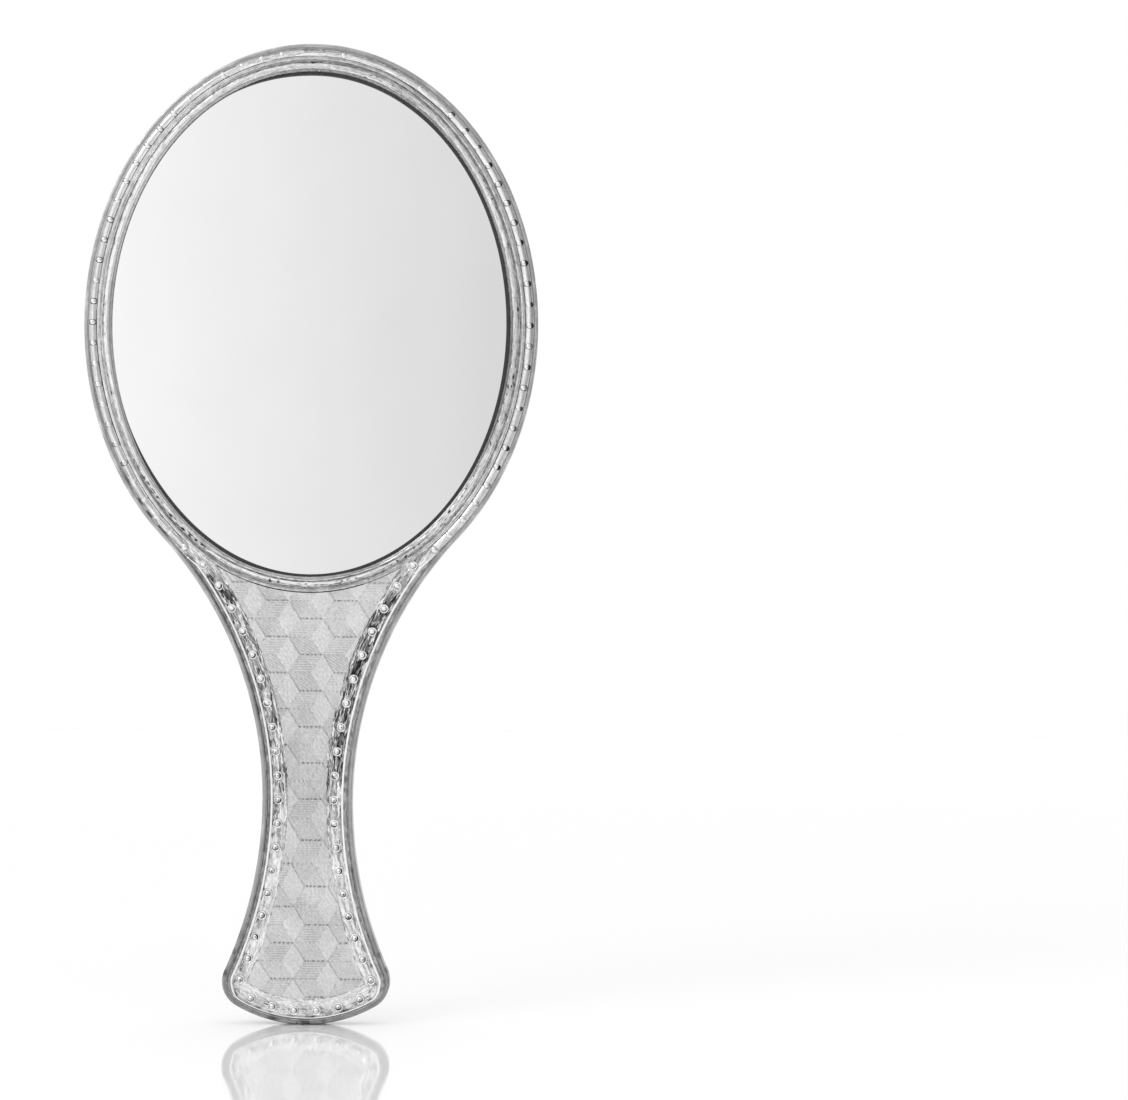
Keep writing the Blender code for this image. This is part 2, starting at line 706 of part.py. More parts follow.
def cross_recess(name, place_y, top):
    """Make the cross-shaped driver recess of a screw head."""
    mesh = bpy.data.meshes.new(name)
    work = bmesh.new()
    half = RECESS_WIDTH / 2
    reach = RECESS_LENGTH / 2
    plan = [(reach, half), (half, half), (half, reach)]
    for quarter in range(4):
        turn = quarter * math.pi / 2
        for x, y in plan:
            turned_x = x * math.cos(turn) - y * math.sin(turn)
            turned_y = x * math.sin(turn) + y * math.cos(turn)
            work.verts.new((turned_x, turned_y, 0))
    face = work.faces.new(work.verts)
    bmesh.ops.translate(work, vec=(0, 0, -RECESS_DEPTH), verts=work.verts)
    grown = bmesh.ops.extrude_face_region(work, geom=[face])
    moved = [part for part in grown["geom"] if isinstance(part, bmesh.types.BMVert)]
    bmesh.ops.translate(work, vec=(0, 0, RECESS_DEPTH + CUT_OVERRUN), verts=moved)
    bmesh.ops.recalc_face_normals(work, faces=work.faces)
    work.to_mesh(mesh)
    work.free()
    item = bpy.data.objects.new(name, mesh)
    item.location = (0, place_y, top)
    return as_cutter(item)


def handle_screws():
    """Make the countersunk screws that hold the two halves together under the panel."""
    top = POCKET_FLOOR - SCREW_HEAD_SINK
    tip = SHELL_BACK + HOLE_END_WALL + SCREW_END_GAP
    for place, y in SCREW_PLACES.items():
        profile = [
            (0, top),
            (SCREW_HEAD_RADIUS, top),
            (SCREW_RADIUS, top - SCREW_HEAD_DEPTH),
            (SCREW_RADIUS, tip + SCREW_POINT),
            (0, tip),
        ]
        screw = turned("handle_screw_" + place, profile, y)
        cut(screw, cross_recess("recess_" + place, y, top))
        as_part(screw, ZINC_STEEL)


front_frame()
back_shell()
edge_trim()
glass_pieces()
rim_bead_strip()
handle_stud_strip()
handle_panel()
handle_screws()
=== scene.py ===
"""Looks of an oval, silver-plated hand mirror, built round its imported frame.

Shapes are worked out in plan millimetres: x to the right, y up along the handle and z towards the
viewer, from the middle of the waist. A point's inset is its distance inwards from the outline.
A plan point (x, y, z) stands at (x, -z, y) / 1000 in the frame's metres.
"""

import logging
import math
from dataclasses import dataclass, field
from enum import Enum

import bmesh
import bpy
import numpy as np
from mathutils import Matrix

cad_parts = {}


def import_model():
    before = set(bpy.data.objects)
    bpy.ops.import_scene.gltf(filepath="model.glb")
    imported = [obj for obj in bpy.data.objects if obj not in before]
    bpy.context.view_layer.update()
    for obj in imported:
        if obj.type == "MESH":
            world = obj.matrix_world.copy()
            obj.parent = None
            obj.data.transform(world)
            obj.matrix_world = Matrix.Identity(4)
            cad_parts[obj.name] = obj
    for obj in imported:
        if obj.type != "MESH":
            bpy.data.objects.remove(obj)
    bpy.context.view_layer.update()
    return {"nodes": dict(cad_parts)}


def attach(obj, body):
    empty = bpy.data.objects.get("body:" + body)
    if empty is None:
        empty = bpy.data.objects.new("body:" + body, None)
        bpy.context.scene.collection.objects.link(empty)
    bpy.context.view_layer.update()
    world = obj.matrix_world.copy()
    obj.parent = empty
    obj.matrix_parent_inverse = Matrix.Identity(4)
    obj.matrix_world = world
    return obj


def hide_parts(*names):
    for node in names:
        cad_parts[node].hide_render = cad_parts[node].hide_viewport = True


LOG = logging.getLogger("hand_mirror")
Array = np.ndarray
Tree = bpy.types.NodeTree
Node = bpy.types.Node
Socket = bpy.types.NodeSocket

MM = 0.001
FULL_TURN = 2 * math.pi
BODY = "root"

# Points closer than this many metres are welded, and edges sharper than this stay sharp
WELD = 1e-6
SHARP_ANGLE = math.radians(50)

# How finely curves are worked out: points of an arc and of a path, steps of a normal and its
# longest run, points of a rounded corner, and the search for the arc of the neck
ARC_POINTS = 2000
FINE_POINTS = 4000
REACH_STEPS = 900
REACH_LIMIT = 9.0
EASE_STEPS = 4
HALVINGS = 60
NECK_LIMITS = (math.radians(-85), math.radians(-15))

# The picture's frame, the plan point at its middle, and the mirror's lean in it. The scale holds
# at the height of the outline's front edge.
PICTURE_WIDTH = 1128
PIXELS_PER_MM = 3.5034
SCALE_HEIGHT = 3.0
AIM = (72.7, 72.1)
LEAN = math.radians(0.486)

# Angles in plan about the middle of the head: where the light tent is brightest, and other places
BRIGHT_SIDE = math.radians(155)
RIGHT = 0.0
INNER_DARK = math.radians(15)
UPPER_RIGHT = math.radians(40)
TOP = math.radians(90)
UPPER_LEFT = math.radians(140)
LEFT = math.radians(180)
LOWER_LEFT = math.radians(217)
NECK_LEFT = math.radians(232)
BOTTOM = math.radians(270)
LOWER_RIGHT = math.radians(325)

# Places of the screws along the handle
SCREWS = (39.8, 1.9, -36.0)

# Tone of a face that is out of sight
UNSEEN = 0.2

# A crease is painted as shade on one side and a highlight on the other; #BCBCBC is half of full
# light
CREASE_STOPS = (
    (0.0, "#BCBCBC"),
    (1.0, "#BCBCBC"),
    (0.40, "#BCBCBC"),
    (0.455, "#000000"),
    (0.50, "#BCBCBC"),
    (0.545, "#FFFFFF"),
    (0.60, "#BCBCBC"),
)

# Light of the tent by (x + 1) / 2 of the direction: the glass sees x from -0.13 to -0.01
TENT_STOPS = (
    (0.0, "#F0F0F0"),
    (1.0, "#BCBCBC"),
    (0.25, "#FFFFFF"),
    (0.437, "#FFFFFF"),
    (0.494, "#DDDDDD"),
    (0.55, "#CCCCCC"),
    (0.72, "#BCBCBC"),
)
WHITE = (1.0, 1.0, 1.0, 1.0)
OVERHEAD = (1.1, 1.1, 1.1, 1.0)

# A stud's radius, height above its strip and tone: a dimple, its boss, a trough, a ring and a
# foot; the tones paint shade into the dimple, the trough and the foot, and a highlight on the ring
STUD_PROFILE = (
    (0.0, 0.62, 0.1),
    (0.2, 0.64, 0.2),
    (0.32, 0.68, 0.85),
    (0.5, 0.6, 0.95),
    (0.66, 0.42, 0.72),
    (0.8, 0.36, 0.58),
    (0.92, 0.4, 0.68),
    (1.02, 0.52, 0.97),
    (1.15, 0.6, 1.0),
    (1.28, 0.5, 0.95),
    (1.36, 0.25, 0.75),
    (1.42, 0.0, 0.55),
    (1.48, -0.25, 0.45),
    (0.0, -0.3, 0.3),
)
DIMPLE_POINTS = 3
TROUGH = (0.55, 1.0)

# Blender's wave texture has one band in this much of its scaled length
WAVE_BAND = FULL_TURN / 20


class Ends(Enum):
    """How the two ends of a swept profile are finished."""

    JOINED = "joined"
    CAPPED = "capped"


class Face(Enum):
    """The three faces of a tumbling block, by the first angle of the third that each spans."""

    DIAGONAL = 0
    SMOOTH = 120
    LEVEL = 240


def linear(code: str) -> tuple[float, float, float, float]:
    """Turn an sRGB hex colour into linear light.

    Args:
        code: colour as #RRGGBB.

    Returns:
        Red, green, blue and an alpha of one.
    """
    parts = np.array([int(code[i : i + 2], 16) for i in (1, 3, 5)]) / 255
    light = np.where(parts <= 0.04045, parts / 12.92, ((parts + 0.055) / 1.055) ** 2.4)
    return (*light.tolist(), 1.0)


def per_metre(size: float) -> float:
    """Give the texture scale of a pattern whose features are a size in millimetres."""
    return 1 / (size * MM)


def smooth(value: Array, low: float, high: float) -> Array:
    """Ease from 0 to 1 as a value goes from low to high, as 3t^2 - 2t^3."""
    share = np.clip((value - low) / (high - low), 0, 1)
    return share * share * (3 - 2 * share)


def between(value: Array, low: float, full: float, fall: float, gone: float) -> Array:
    """Ease in from 0 to 1 as a value goes from low to full, and out from fall to gone."""
    return smooth(value, low, full) * (1 - smooth(value, fall, gone))


def bell(value: Array, middle: Array | float, width: float) -> Array:
    """Give the bell curve exp(-((value - middle) / width)^2)."""
    return np.exp(-(((value - middle) / width) ** 2))


def turned(profile: Array, turn: Array) -> Array:
    """Turn a profile about an upright axis: (r cos t, r sin t, z).

    Args:
        profile: radius and height of each point.
        turn: angles round the axis.

    Returns:
        Points, shaped (profile points, angles, 3).
    """
    radius, height = profile[:, :1], profile[:, 1:2]
    axes = np.broadcast_arrays(radius * np.cos(turn), radius * np.sin(turn), height)
    return np.stack(axes, axis=-1)


def patches(index: Array) -> Array:
    """Give the four corners of each face between the rows and columns of a grid of points."""
    corners = (index[:-1, :-1], index[:-1, 1:], index[1:, 1:], index[1:, :-1])
    return np.stack(corners, axis=-1).reshape(-1, 4)


def add_node(
    tree: Tree,
    kind: str,
    inputs: dict[str | int, object] | None = None,
    out: str | int = 0,
    stops: tuple[tuple[float, str], ...] = (),
    **settings: object,
) -> Socket:
    """Add a shader node with its settings, links and values.

    Args:
        tree: node tree that takes the node.
        kind: Blender's type name of the node, without ShaderNode.
        inputs: socket name or index to a value, or to the output socket that feeds it.
        out: which output socket to give back.
        stops: places and sRGB colours of a colour ramp.
        settings: attributes of the node.

    Returns:
        That output socket of the new node.
    """
    node = tree.nodes.new("ShaderNode" + kind)
    for key, value in settings.items():
        setattr(node, key, value)
    for key, value in (inputs or {}).items():
        if isinstance(value, Socket):
            tree.links.new(value, node.inputs[key])
        else:
            node.inputs[key].default_value = value
    # A new ramp has two stops, which take the first two places
    for number, (place, colour) in enumerate(stops):
        elements = node.color_ramp.elements
        element = elements[number] if number < 2 else elements.new(place)
        element.position = place
        element.color = linear(colour)
    return node.outputs[out]


@dataclass(frozen=True)
class Ripple:
    """An uneven field: plane waves with seeded directions, lengths and phases, added up.

    The size is about that of its unevenness in millimetres, and the seed sets where it falls.
    """

    size: float
    seed: int
    stretch: float = 1.0
    waves: int = 28

    def at(self, x: Array, y: Array | float) -> Array:
        """Work out the field, which mostly stays between -1 and 1.

        Args:
            x: first coordinate in millimetres, along which the waves are stretched.
            y: second coordinate in millimetres.

        Returns:
            The sum of sin(kx x + ky y + phase), scaled by the root of the number of waves.
        """
        draw = np.random.default_rng(self.seed)
        turn = draw.uniform(0, FULL_TURN, self.waves)
        number = FULL_TURN / (self.size * draw.uniform(0.6, 1.6, self.waves))
        phase = draw.uniform(0, FULL_TURN, self.waves)
        ways = (number * np.cos(turn) / self.stretch, number * np.sin(turn), phase)
        total = np.zeros(np.broadcast(x, y).shape)
        for kx, ky, start in zip(*ways):
            total += np.sin(kx * x + ky * y + start)
        return total / math.sqrt(self.waves)


@dataclass(frozen=True)
class Path:
    """A line in plan: its points, and the unit normals that point into the mirror."""

    x: Array
    y: Array
    nx: Array
    ny: Array

    def columns(self) -> tuple[Array, Array, Array, Array]:
        """Give the four arrays in order."""
        return self.x, self.y, self.nx, self.ny

    def runs(self, inset: float = 0.0) -> Array:
        """Give the distance at each point along the parallel line at an inset."""
        steps = np.hypot(np.diff(self.x + inset * self.nx), np.diff(self.y + inset * self.ny))
        return np.concatenate([[0.0], np.cumsum(steps)])

    def at(self, runs: Array, inset: float = 0.0) -> "Path":
        """Pick points by their distance along the parallel line at an inset.

        Args:
            runs: distances in millimetres.
            inset: which parallel line the distances are measured along.

        Returns:
            The picked points, still given on the path itself.
        """
        known = self.runs(inset)
        x, y, nx, ny = (np.interp(runs, known, value) for value in self.columns())
        size = np.hypot(nx, ny)
        return Path(x, y, nx / size, ny / size)

    def mirrored(self) -> "Path":
        """Give the path's mirror image on the other side of the handle, run backwards."""
        return Path(-self.x[::-1], self.y[::-1], -self.nx[::-1], self.ny[::-1])

    def then(self, other: "Path") -> "Path":
        """Join a path that starts where this one ends."""
        pairs = zip(self.columns(), other.columns())
        return Path(*(np.concatenate([mine, theirs[1:]]) for mine, theirs in pairs))

    def carry(self, insets: Array, heights: Array | float) -> Array:
        """Carry a profile along the path: point + inset * normal, at the profile's height.

        Args:
            insets: one value per profile point, or one row of them per path point.
            heights: as insets.

        Returns:
            Plan points, shaped (path points, profile points, 3).
        """
        x = self.x[:, None] + insets * self.nx[:, None]
        y = self.y[:, None] + insets * self.ny[:, None]
        return np.stack([x, y, np.broadcast_to(heights, x.shape)], axis=-1)


@dataclass(frozen=True)
class Outline:
    """The mirror's outline: an ellipse, arcs to the waist and to the foot, and a round foot."""

    head_a: float = 64.8
    head_b: float = 80.1
    head_y: float = 135.9
    waist: float = 12.8
    corner_x: float = 16.0
    corner_radius: float = 7.9
    foot_y: float = -24.0
    foot_radius: float = 40.0
    lip_outer: float = 1.4
    lip_inner: float = 3.05
    lip_head: float = 0.8
    fillet: float = 3.7
    panel: float = 7.2
    foot_lip: float = 0.8
    # How far the rim's lines, ridge and inner slope are drawn aside in places
    line_drift: float = 0.42
    ridge_drift: float = 0.12
    ridge_sag: float = 0.25
    right_drift: float = 0.12
    bottom_drift: float = 0.2
    left_drift: float = 0.3

    @staticmethod
    def arc(
        centre: tuple[float, float], radii: tuple[float, float], angles: Array, way: int
    ) -> Path:
        """Give an ellipse's arc: centre + (a cos t, b sin t), with normals (cos t / a, sin t / b).

        Args:
            centre: plan point.
            radii: half width a and half height b.
            angles: values of t.
            way: 1 where the mirror lies outside the arc, -1 where it lies inside.

        Returns:
            The arc as a path.
        """
        cos, sin = np.cos(angles), np.sin(angles)
        across, along = cos / radii[0], sin / radii[1]
        size = way / np.hypot(across, along)
        x, y = centre[0] + radii[0] * cos, centre[1] + radii[1] * sin
        return Path(x, y, across * size, along * size)

    def oval(self, angles: Array) -> Path:
        """Give points of the head's edge at some ellipse angles."""
        return self.arc((0, self.head_y), (self.head_a, self.head_b), angles, -1)

    def neck(self) -> tuple[float, float]:
        """Find the arc that touches the head, has its centre at waist height and meets the waist.

        Returns:
            The ellipse angle where the arc leaves the head, and its radius, found by halving.
        """
        low, high = NECK_LIMITS
        radius = 0.0
        for _ in range(HALVINGS):
            middle = (low + high) / 2
            point = self.oval(np.array([middle]))
            radius = float(point.y[0] / point.ny[0])
            if float(point.x[0]) - radius * (float(point.nx[0]) + 1) > self.waist:
                high = middle
            else:
                low = middle
        return low, radius

    def pieces(self) -> list[Path]:
        """Work out the arcs of the right-hand side, each of which touches the next.

        Returns:
            The head, the neck, the flare below the waist, the corner and the foot.
        """
        angle, neck = self.neck()
        point = self.oval(np.array([angle]))
        neck_start = math.atan2(float(point.y[0]), float(point.x[0]) - self.waist - neck)
        reach = self.foot_radius - self.corner_radius
        corner_y = self.foot_y - math.sqrt(reach**2 - self.corner_x**2)
        rise = (self.waist - self.corner_x) ** 2 + corner_y**2 - self.corner_radius**2
        flare = rise / (2 * (self.corner_radius - self.waist + self.corner_x))
        flare_x = self.waist + flare
        turn = math.atan2(-corner_y, flare_x - self.corner_x)
        foot = math.atan2(corner_y - self.foot_y, self.corner_x)
        arcs = (
            ((0, self.head_y), (self.head_a, self.head_b), math.pi / 2, angle, -1),
            ((self.waist + neck, 0), (neck, neck), neck_start, math.pi, 1),
            ((flare_x, 0), (flare, flare), math.pi, math.pi + turn, 1),
            ((self.corner_x, corner_y), (self.corner_radius, self.corner_radius), turn, foot, -1),
            ((0, self.foot_y), (self.foot_radius, self.foot_radius), foot, -math.pi / 2, -1),
        )
        return [
            self.arc(centre, radii, np.linspace(first, last, ARC_POINTS), way)
            for centre, radii, first, last, way in arcs
        ]

    def head_run(self) -> float:
        """Give the distance along the side from the top to where the neck leaves the head."""
        return self.pieces()[0].runs()[-1]

    def side(self) -> Path:
        """Join the arcs of the right-hand side.

        Returns:
            One path, from the top of the head to the middle of the foot.
        """
        head, *rest = self.pieces()
        for piece in rest:
            head = head.then(piece)
        return head

    def handle(self, run: float, spacing: float) -> Path:
        """Give the open U from a run below the head, round the foot, to the same run on the left.

        Args:
            run: distance in millimetres below the point where the neck leaves the head.
            spacing: distance between points.

        Returns:
            The U, evenly spaced.
        """
        side = self.side()
        start = self.head_run() + run
        end = side.runs()[-1]
        half = side.at(np.linspace(start, end, math.ceil((end - start) / spacing)))
        return half.then(half.mirrored())

    def reach(self, path: Path, head_inset: float, limit: float) -> Array:
        """Give how far each point's normal runs before it enters an oval inside the head's edge.

        Args:
            path: points whose normals are followed.
            head_inset: inset of that oval from the head's edge.
            limit: the longest run.

        Returns:
            The run of each normal, at most the limit.
        """
        insets = np.linspace(0, limit, REACH_STEPS)
        grid = path.carry(insets, 0.0)
        across = grid[..., 0] / (self.head_a - head_inset)
        along = (grid[..., 1] - self.head_y) / (self.head_b - head_inset)
        inside = across**2 + along**2 < 1
        first = np.where(inside.any(axis=1), inside.argmax(axis=1), len(insets) - 1)
        return insets[first]

    def channel(self, path: Path) -> tuple[Array, Array]:
        """Give the channel's two sides: from the lip, or where it will start, to the rim or panel.

        Args:
            path: points of the outline.

        Returns:
            Outer and inner inset at each point.
        """
        outer = self.reach(path, self.lip_head, REACH_LIMIT)
        outer = np.clip(outer, self.lip_outer, self.lip_inner)
        outer = outer - self.foot_lip * smooth(-path.y, 54, 60)
        return outer, np.minimum(self.reach(path, self.fillet, REACH_LIMIT), self.panel)

    def drift(self, path: Path, inset: Array) -> Array:
        """Give the extra inset of the rim, whose lines crowd inwards at upper right and lower left.

        Args:
            path: points of the outline.
            inset: inset of each profile point.

        Returns:
            Extra insets, one row for each path point.
        """
        lower = self.towards(path, LOWER_LEFT, 0.82, 1.0)
        both = lower + self.towards(path, UPPER_RIGHT, 0.82, 1.0)
        lines = np.interp(inset, (1.1, 3.7, 5.2, 6.0), (0.0, 1.0, 1.0, 0.0))
        ridge = np.interp(inset, (4.9, 5.8, 7.0, 8.05), (0.0, 1.0, 1.0, 0.3))
        slope = np.interp(inset, (7.0, 8.05), (0.0, 1.0))
        right = self.right_drift * self.towards(path, RIGHT, 0.4, 1.0)
        bottom = self.bottom_drift * self.towards(path, BOTTOM, 0.96, 1.0)
        moved = self.line_drift * lines * both
        moved = moved + ridge * (self.ridge_drift + self.ridge_sag * lower)
        moved = moved + right * smooth(inset, 4.2, 4.6) * lines
        return moved + (right + bottom - self.left_drift * self.gap(path)) * slope

    def gap(self, path: Path) -> Array:
        """Give how far, from 0 to 1, the gap between rim and glass closes towards the left."""
        turn = np.degrees(self.turn(path.x, path.y)) % 360
        return between(turn, 90, 118, 190, 235)[:, None]

    def towards(self, path: Path, way: float, low: float, high: float) -> Array:
        """Give how far points of the head lie towards an angle, from 0 to 1.

        Args:
            path: points of the outline.
            way: the angle.
            low: cosine of the angle between them where the value starts.
            high: cosine where it is full.

        Returns:
            One value for each point, as a column.
        """
        return smooth(np.cos(self.turn(path.x, path.y) - way), low, high)[:, None]

    def lit(self, path: Path) -> Array:
        """Give how far points lie towards the bright side of the light tent, as a column."""
        return self.towards(path, BRIGHT_SIDE, -0.1, 0.85)

    def turn(self, x: Array, y: Array) -> Array:
        """Give the angle of plan points about the middle of the head."""
        return np.arctan2(y - self.head_y, x)


def eased(corners: list[tuple[float, float, float, float]], spacing: float) -> Array:
    """Round the corners of a closed profile and split its long sides.

    Each corner c becomes the curve (1-t)^2 a + 2t(1-t) c + t^2 b, where a and b lie on its two
    sides at the corner's ease. A corner with no ease is out of sight, and so are its two sides,
    which aren't split.

    Args:
        corners: inset, height, ease and tone of each corner.
        spacing: longest step along a side.

    Returns:
        Inset, height and tone of each point of the profile.
    """
    data = np.array(corners)
    here, ease = data[:, None, :2], data[:, None, 2:3]
    back = np.roll(here, 1, axis=0) - here
    ahead = np.roll(here, -1, axis=0) - here
    start = here + ease * back / np.linalg.norm(back, axis=2, keepdims=True)
    end = here + ease * ahead / np.linalg.norm(ahead, axis=2, keepdims=True)
    t = np.linspace(0, 1, EASE_STEPS)[None, :, None]
    curve = (1 - t) ** 2 * start + 2 * t * (1 - t) * here + t**2 * end
    tone = np.broadcast_to(data[:, None, 3:4], (*curve.shape[:2], 1))
    loop = np.concatenate([curve, tone], axis=2).reshape(-1, 3)
    gap = np.roll(loop, -1, axis=0) - loop
    count = np.maximum(np.ceil(np.hypot(gap[:, 0], gap[:, 1]) / spacing), 1).astype(int)
    sharp = np.repeat(data[:, 2] == 0, EASE_STEPS)
    count[sharp | np.roll(sharp, -1)] = 1
    index = np.repeat(np.arange(len(loop)), count)
    first = np.repeat(np.cumsum(count) - count, count)
    share = (np.arange(len(index)) - first) / count[index]
    return loop[index] + share[:, None] * gap[index]


class Skin:
    """Closed surfaces gathered into one mesh, in plan millimetres, with values at their points."""

    def __init__(self, name: str) -> None:
        """Start an empty skin.

        Args:
            name: name of the piece that it becomes.
        """
        self.name = name
        self.points: list[Array] = []
        self.faces: list[list[int]] = []
        self.values: list[dict[str, Array]] = []
        self.count = 0

    def add(
        self,
        points: Array,
        quads: Array,
        caps: tuple[Array, ...] = (),
        **values: Array | float,
    ) -> None:
        """Add a surface.

        Args:
            points: plan points, shaped (..., 3).
            quads: point numbers of the four-sided faces, counted within this surface.
            caps: point numbers round each of its other faces.
            values: numbers that the points carry, for each name an array or one number for all.
                The tone is kept within 0 and 1. Creases, painted as shade beside a highlight,
                follow along and across, as strongly as their weight says; all are 0 unless they are
                given.
        """
        flat = points.reshape(-1, 3)
        shape = points.shape[:-1]
        every = {"tone": 0.0, "along": 0.0, "across": 0.0, "worn": 0.0, **values}
        every["tone"] = np.clip(every["tone"], 0, 1)
        self.faces += (quads + self.count).tolist()
        self.faces += [(cap + self.count).tolist() for cap in caps]
        self.points.append(flat)
        self.values.append({k: np.broadcast_to(v, shape).ravel() for k, v in every.items()})
        self.count += len(flat)

    def sweep(self, grid: Array, ends: Ends, **values: Array | float) -> None:
        """Add a tube: a closed profile carried from row to row of a grid.

        Args:
            grid: plan points, shaped (rows, profile points, 3).
            ends: whether the last row joins the first, or both are capped.
            values: numbers that the points carry.
        """
        index = np.arange(grid.shape[0] * grid.shape[1]).reshape(grid.shape[:2])
        rows = np.vstack([index, index[:1]]) if ends is Ends.JOINED else index
        caps = (index[0], index[-1]) if ends is Ends.CAPPED else ()
        self.add(grid, patches(np.hstack([rows, rows[:, :1]])), caps, **values)

    def piece(self, finish: "Finish", slot: str, node: str) -> None:
        """Make the object, weld its seams, turn its faces outwards and give it to the frame.

        Args:
            finish: what it is made of.
            slot: the record's slot for that finish; not used.
            node: the part that it stands for.
        """
        plan = np.concatenate(self.points)
        mesh = bpy.data.meshes.new(self.name)
        place = np.stack([plan[:, 0], -plan[:, 2], plan[:, 1]], axis=1) * MM
        mesh.from_pydata(place.tolist(), [], self.faces)
        for key in self.values[0]:
            value = np.concatenate([part[key] for part in self.values]).astype(np.float32)
            mesh.attributes.new(key, "FLOAT", "POINT").data.foreach_set("value", value)
        work = bmesh.new()
        work.from_mesh(mesh)
        bmesh.ops.remove_doubles(work, verts=work.verts, dist=WELD)
        bmesh.ops.recalc_face_normals(work, faces=work.faces)
        work.to_mesh(mesh)
        work.free()
        mesh.materials.append(finish.material())
        mesh.shade_smooth()
        mesh.set_sharp_from_angle(angle=SHARP_ANGLE)
        item = bpy.data.objects.new(self.name, mesh)
        bpy.context.scene.collection.objects.link(item)
        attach(item, BODY)
        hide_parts(node)
        LOG.info("%s: %d faces of %s", self.name, len(mesh.polygons), finish.name)


@dataclass(frozen=True)
class Finish:
    """What every finish has: a name, and a way to set up its shader."""

    name: str

    def material(self) -> bpy.types.Material:
        """Make the finish's material at its first use.

        Returns:
            The material, which all pieces of the finish share.
        """
        made = bpy.data.materials.get(self.name)
        if made is None:
            made = bpy.data.materials.new(self.name)
            made.use_nodes = True
            self.dress(made.node_tree, made.node_tree.nodes["Principled BSDF"])
        return made

    def dress(self, tree: Tree, shader: Node) -> None:
        """Set up the shader; each kind of finish has its own way."""
        raise NotImplementedError


@dataclass(frozen=True)
class SilverPlate(Finish):
    """Silver plate, or a metal like it: edges painted bright as highlight and wear, hollows dark as
    shade and tarnish.

    The tone that a surface carries goes from 0, dark tarnish and painted shade, to 1, polished
    silver and painted highlight. Fine mottling breaks it up, creases are painted along the
    surface as shade beside a highlight where it carries them, the dark end is duller than the
    bright end, and shallow pits catch the light.
    """

    tarnish_and_shade: str = "#242425"
    grey: str = "#7C7C7D"
    silver: str = "#C6C6C7"
    polish_and_highlight: str = "#FBFBFB"
    mottle_mm: float = 1.4
    mottle: float = 0.12
    crease_mm: float = 0.6
    crease: float = 0.5
    pit_mm: float = 0.5
    pit_depth_mm: float = 0.012
    dull: float = 0.42
    bright: float = 0.16

    def dress(self, tree: Tree, shader: Node) -> None:
        """Feed tone and mottling to the colour and roughness, and pits to the normal.

        Args:
            tree: the material's nodes.
            shader: its Principled shader.
        """
        shade, place = self.shade(tree)
        self.finish_shader(tree, shader, shade)
        scale, depth = per_metre(self.pit_mm), self.pit_depth_mm * MM
        pits = add_node(tree, "TexNoise", {"Vector": place, "Scale": scale, "Detail": 2.0})
        bump = add_node(tree, "Bump", {"Height": pits, "Distance": depth, "Strength": 1.0})
        tree.links.new(bump, shader.inputs["Normal"])

    def shade(self, tree: Tree) -> tuple[Socket, Socket]:
        """Add mottling, and creases painted as shade beside a highlight, to the surface's tone.

        Args:
            tree: the material's nodes.

        Returns:
            The finished tone, and the place on the object.
        """
        place = add_node(tree, "TexCoord", out="Object")
        tone, along, across, worn = (
            add_node(tree, "Attribute", out="Fac", attribute_name=name)
            for name in ("tone", "along", "across", "worn")
        )
        # Creases are painted dark on one side and bright on the other, as strongly as each point's
        # weight says
        strand = add_node(tree, "CombineXYZ", {"X": along, "Y": across})
        streaks = {"Vector": strand, "Scale": 1 / self.crease_mm, "Detail": 2.0, "Roughness": 0.55}
        folds = add_node(tree, "TexNoise", streaks)
        creased = add_node(tree, "ValToRGB", {"Fac": folds}, stops=CREASE_STOPS)
        limits = {"Value": creased, "To Min": -self.crease, "To Max": self.crease}
        depth = add_node(tree, "MapRange", limits)
        tone = add_node(tree, "Math", {0: depth, 1: worn, 2: tone}, operation="MULTIPLY_ADD")
        scale = per_metre(self.mottle_mm)
        blotches = {"Vector": place, "Scale": scale, "Detail": 5.0, "Roughness": 0.6}
        noise = add_node(tree, "TexNoise", blotches)
        spread = {"Value": noise, "From Min": 0.25, "From Max": 0.75}
        spread |= {"To Min": -self.mottle, "To Max": self.mottle}
        mottle = add_node(tree, "MapRange", spread)
        return add_node(tree, "Math", {0: tone, 1: mottle}, use_clamp=True), place

    def finish_shader(self, tree: Tree, shader: Node, shade: Socket) -> None:
        """Turn a shade into colour and roughness.

        Args:
            tree: the material's nodes.
            shader: its Principled shader.
            shade: 0 for tarnish and painted shade to 1 for polish and painted highlight.
        """
        stops = ((0.0, self.tarnish_and_shade), (1.0, self.polish_and_highlight), (0.38, self.grey), (0.72, self.silver))
        colour = add_node(tree, "ValToRGB", {"Fac": shade}, stops=stops)
        gloss = {"Value": shade, "To Min": self.dull, "To Max": self.bright}
        rough = add_node(tree, "MapRange", gloss)
        shader.inputs["Metallic"].default_value = 1.0
        tree.links.new(colour, shader.inputs["Base Color"])
        tree.links.new(rough, shader.inputs["Roughness"])


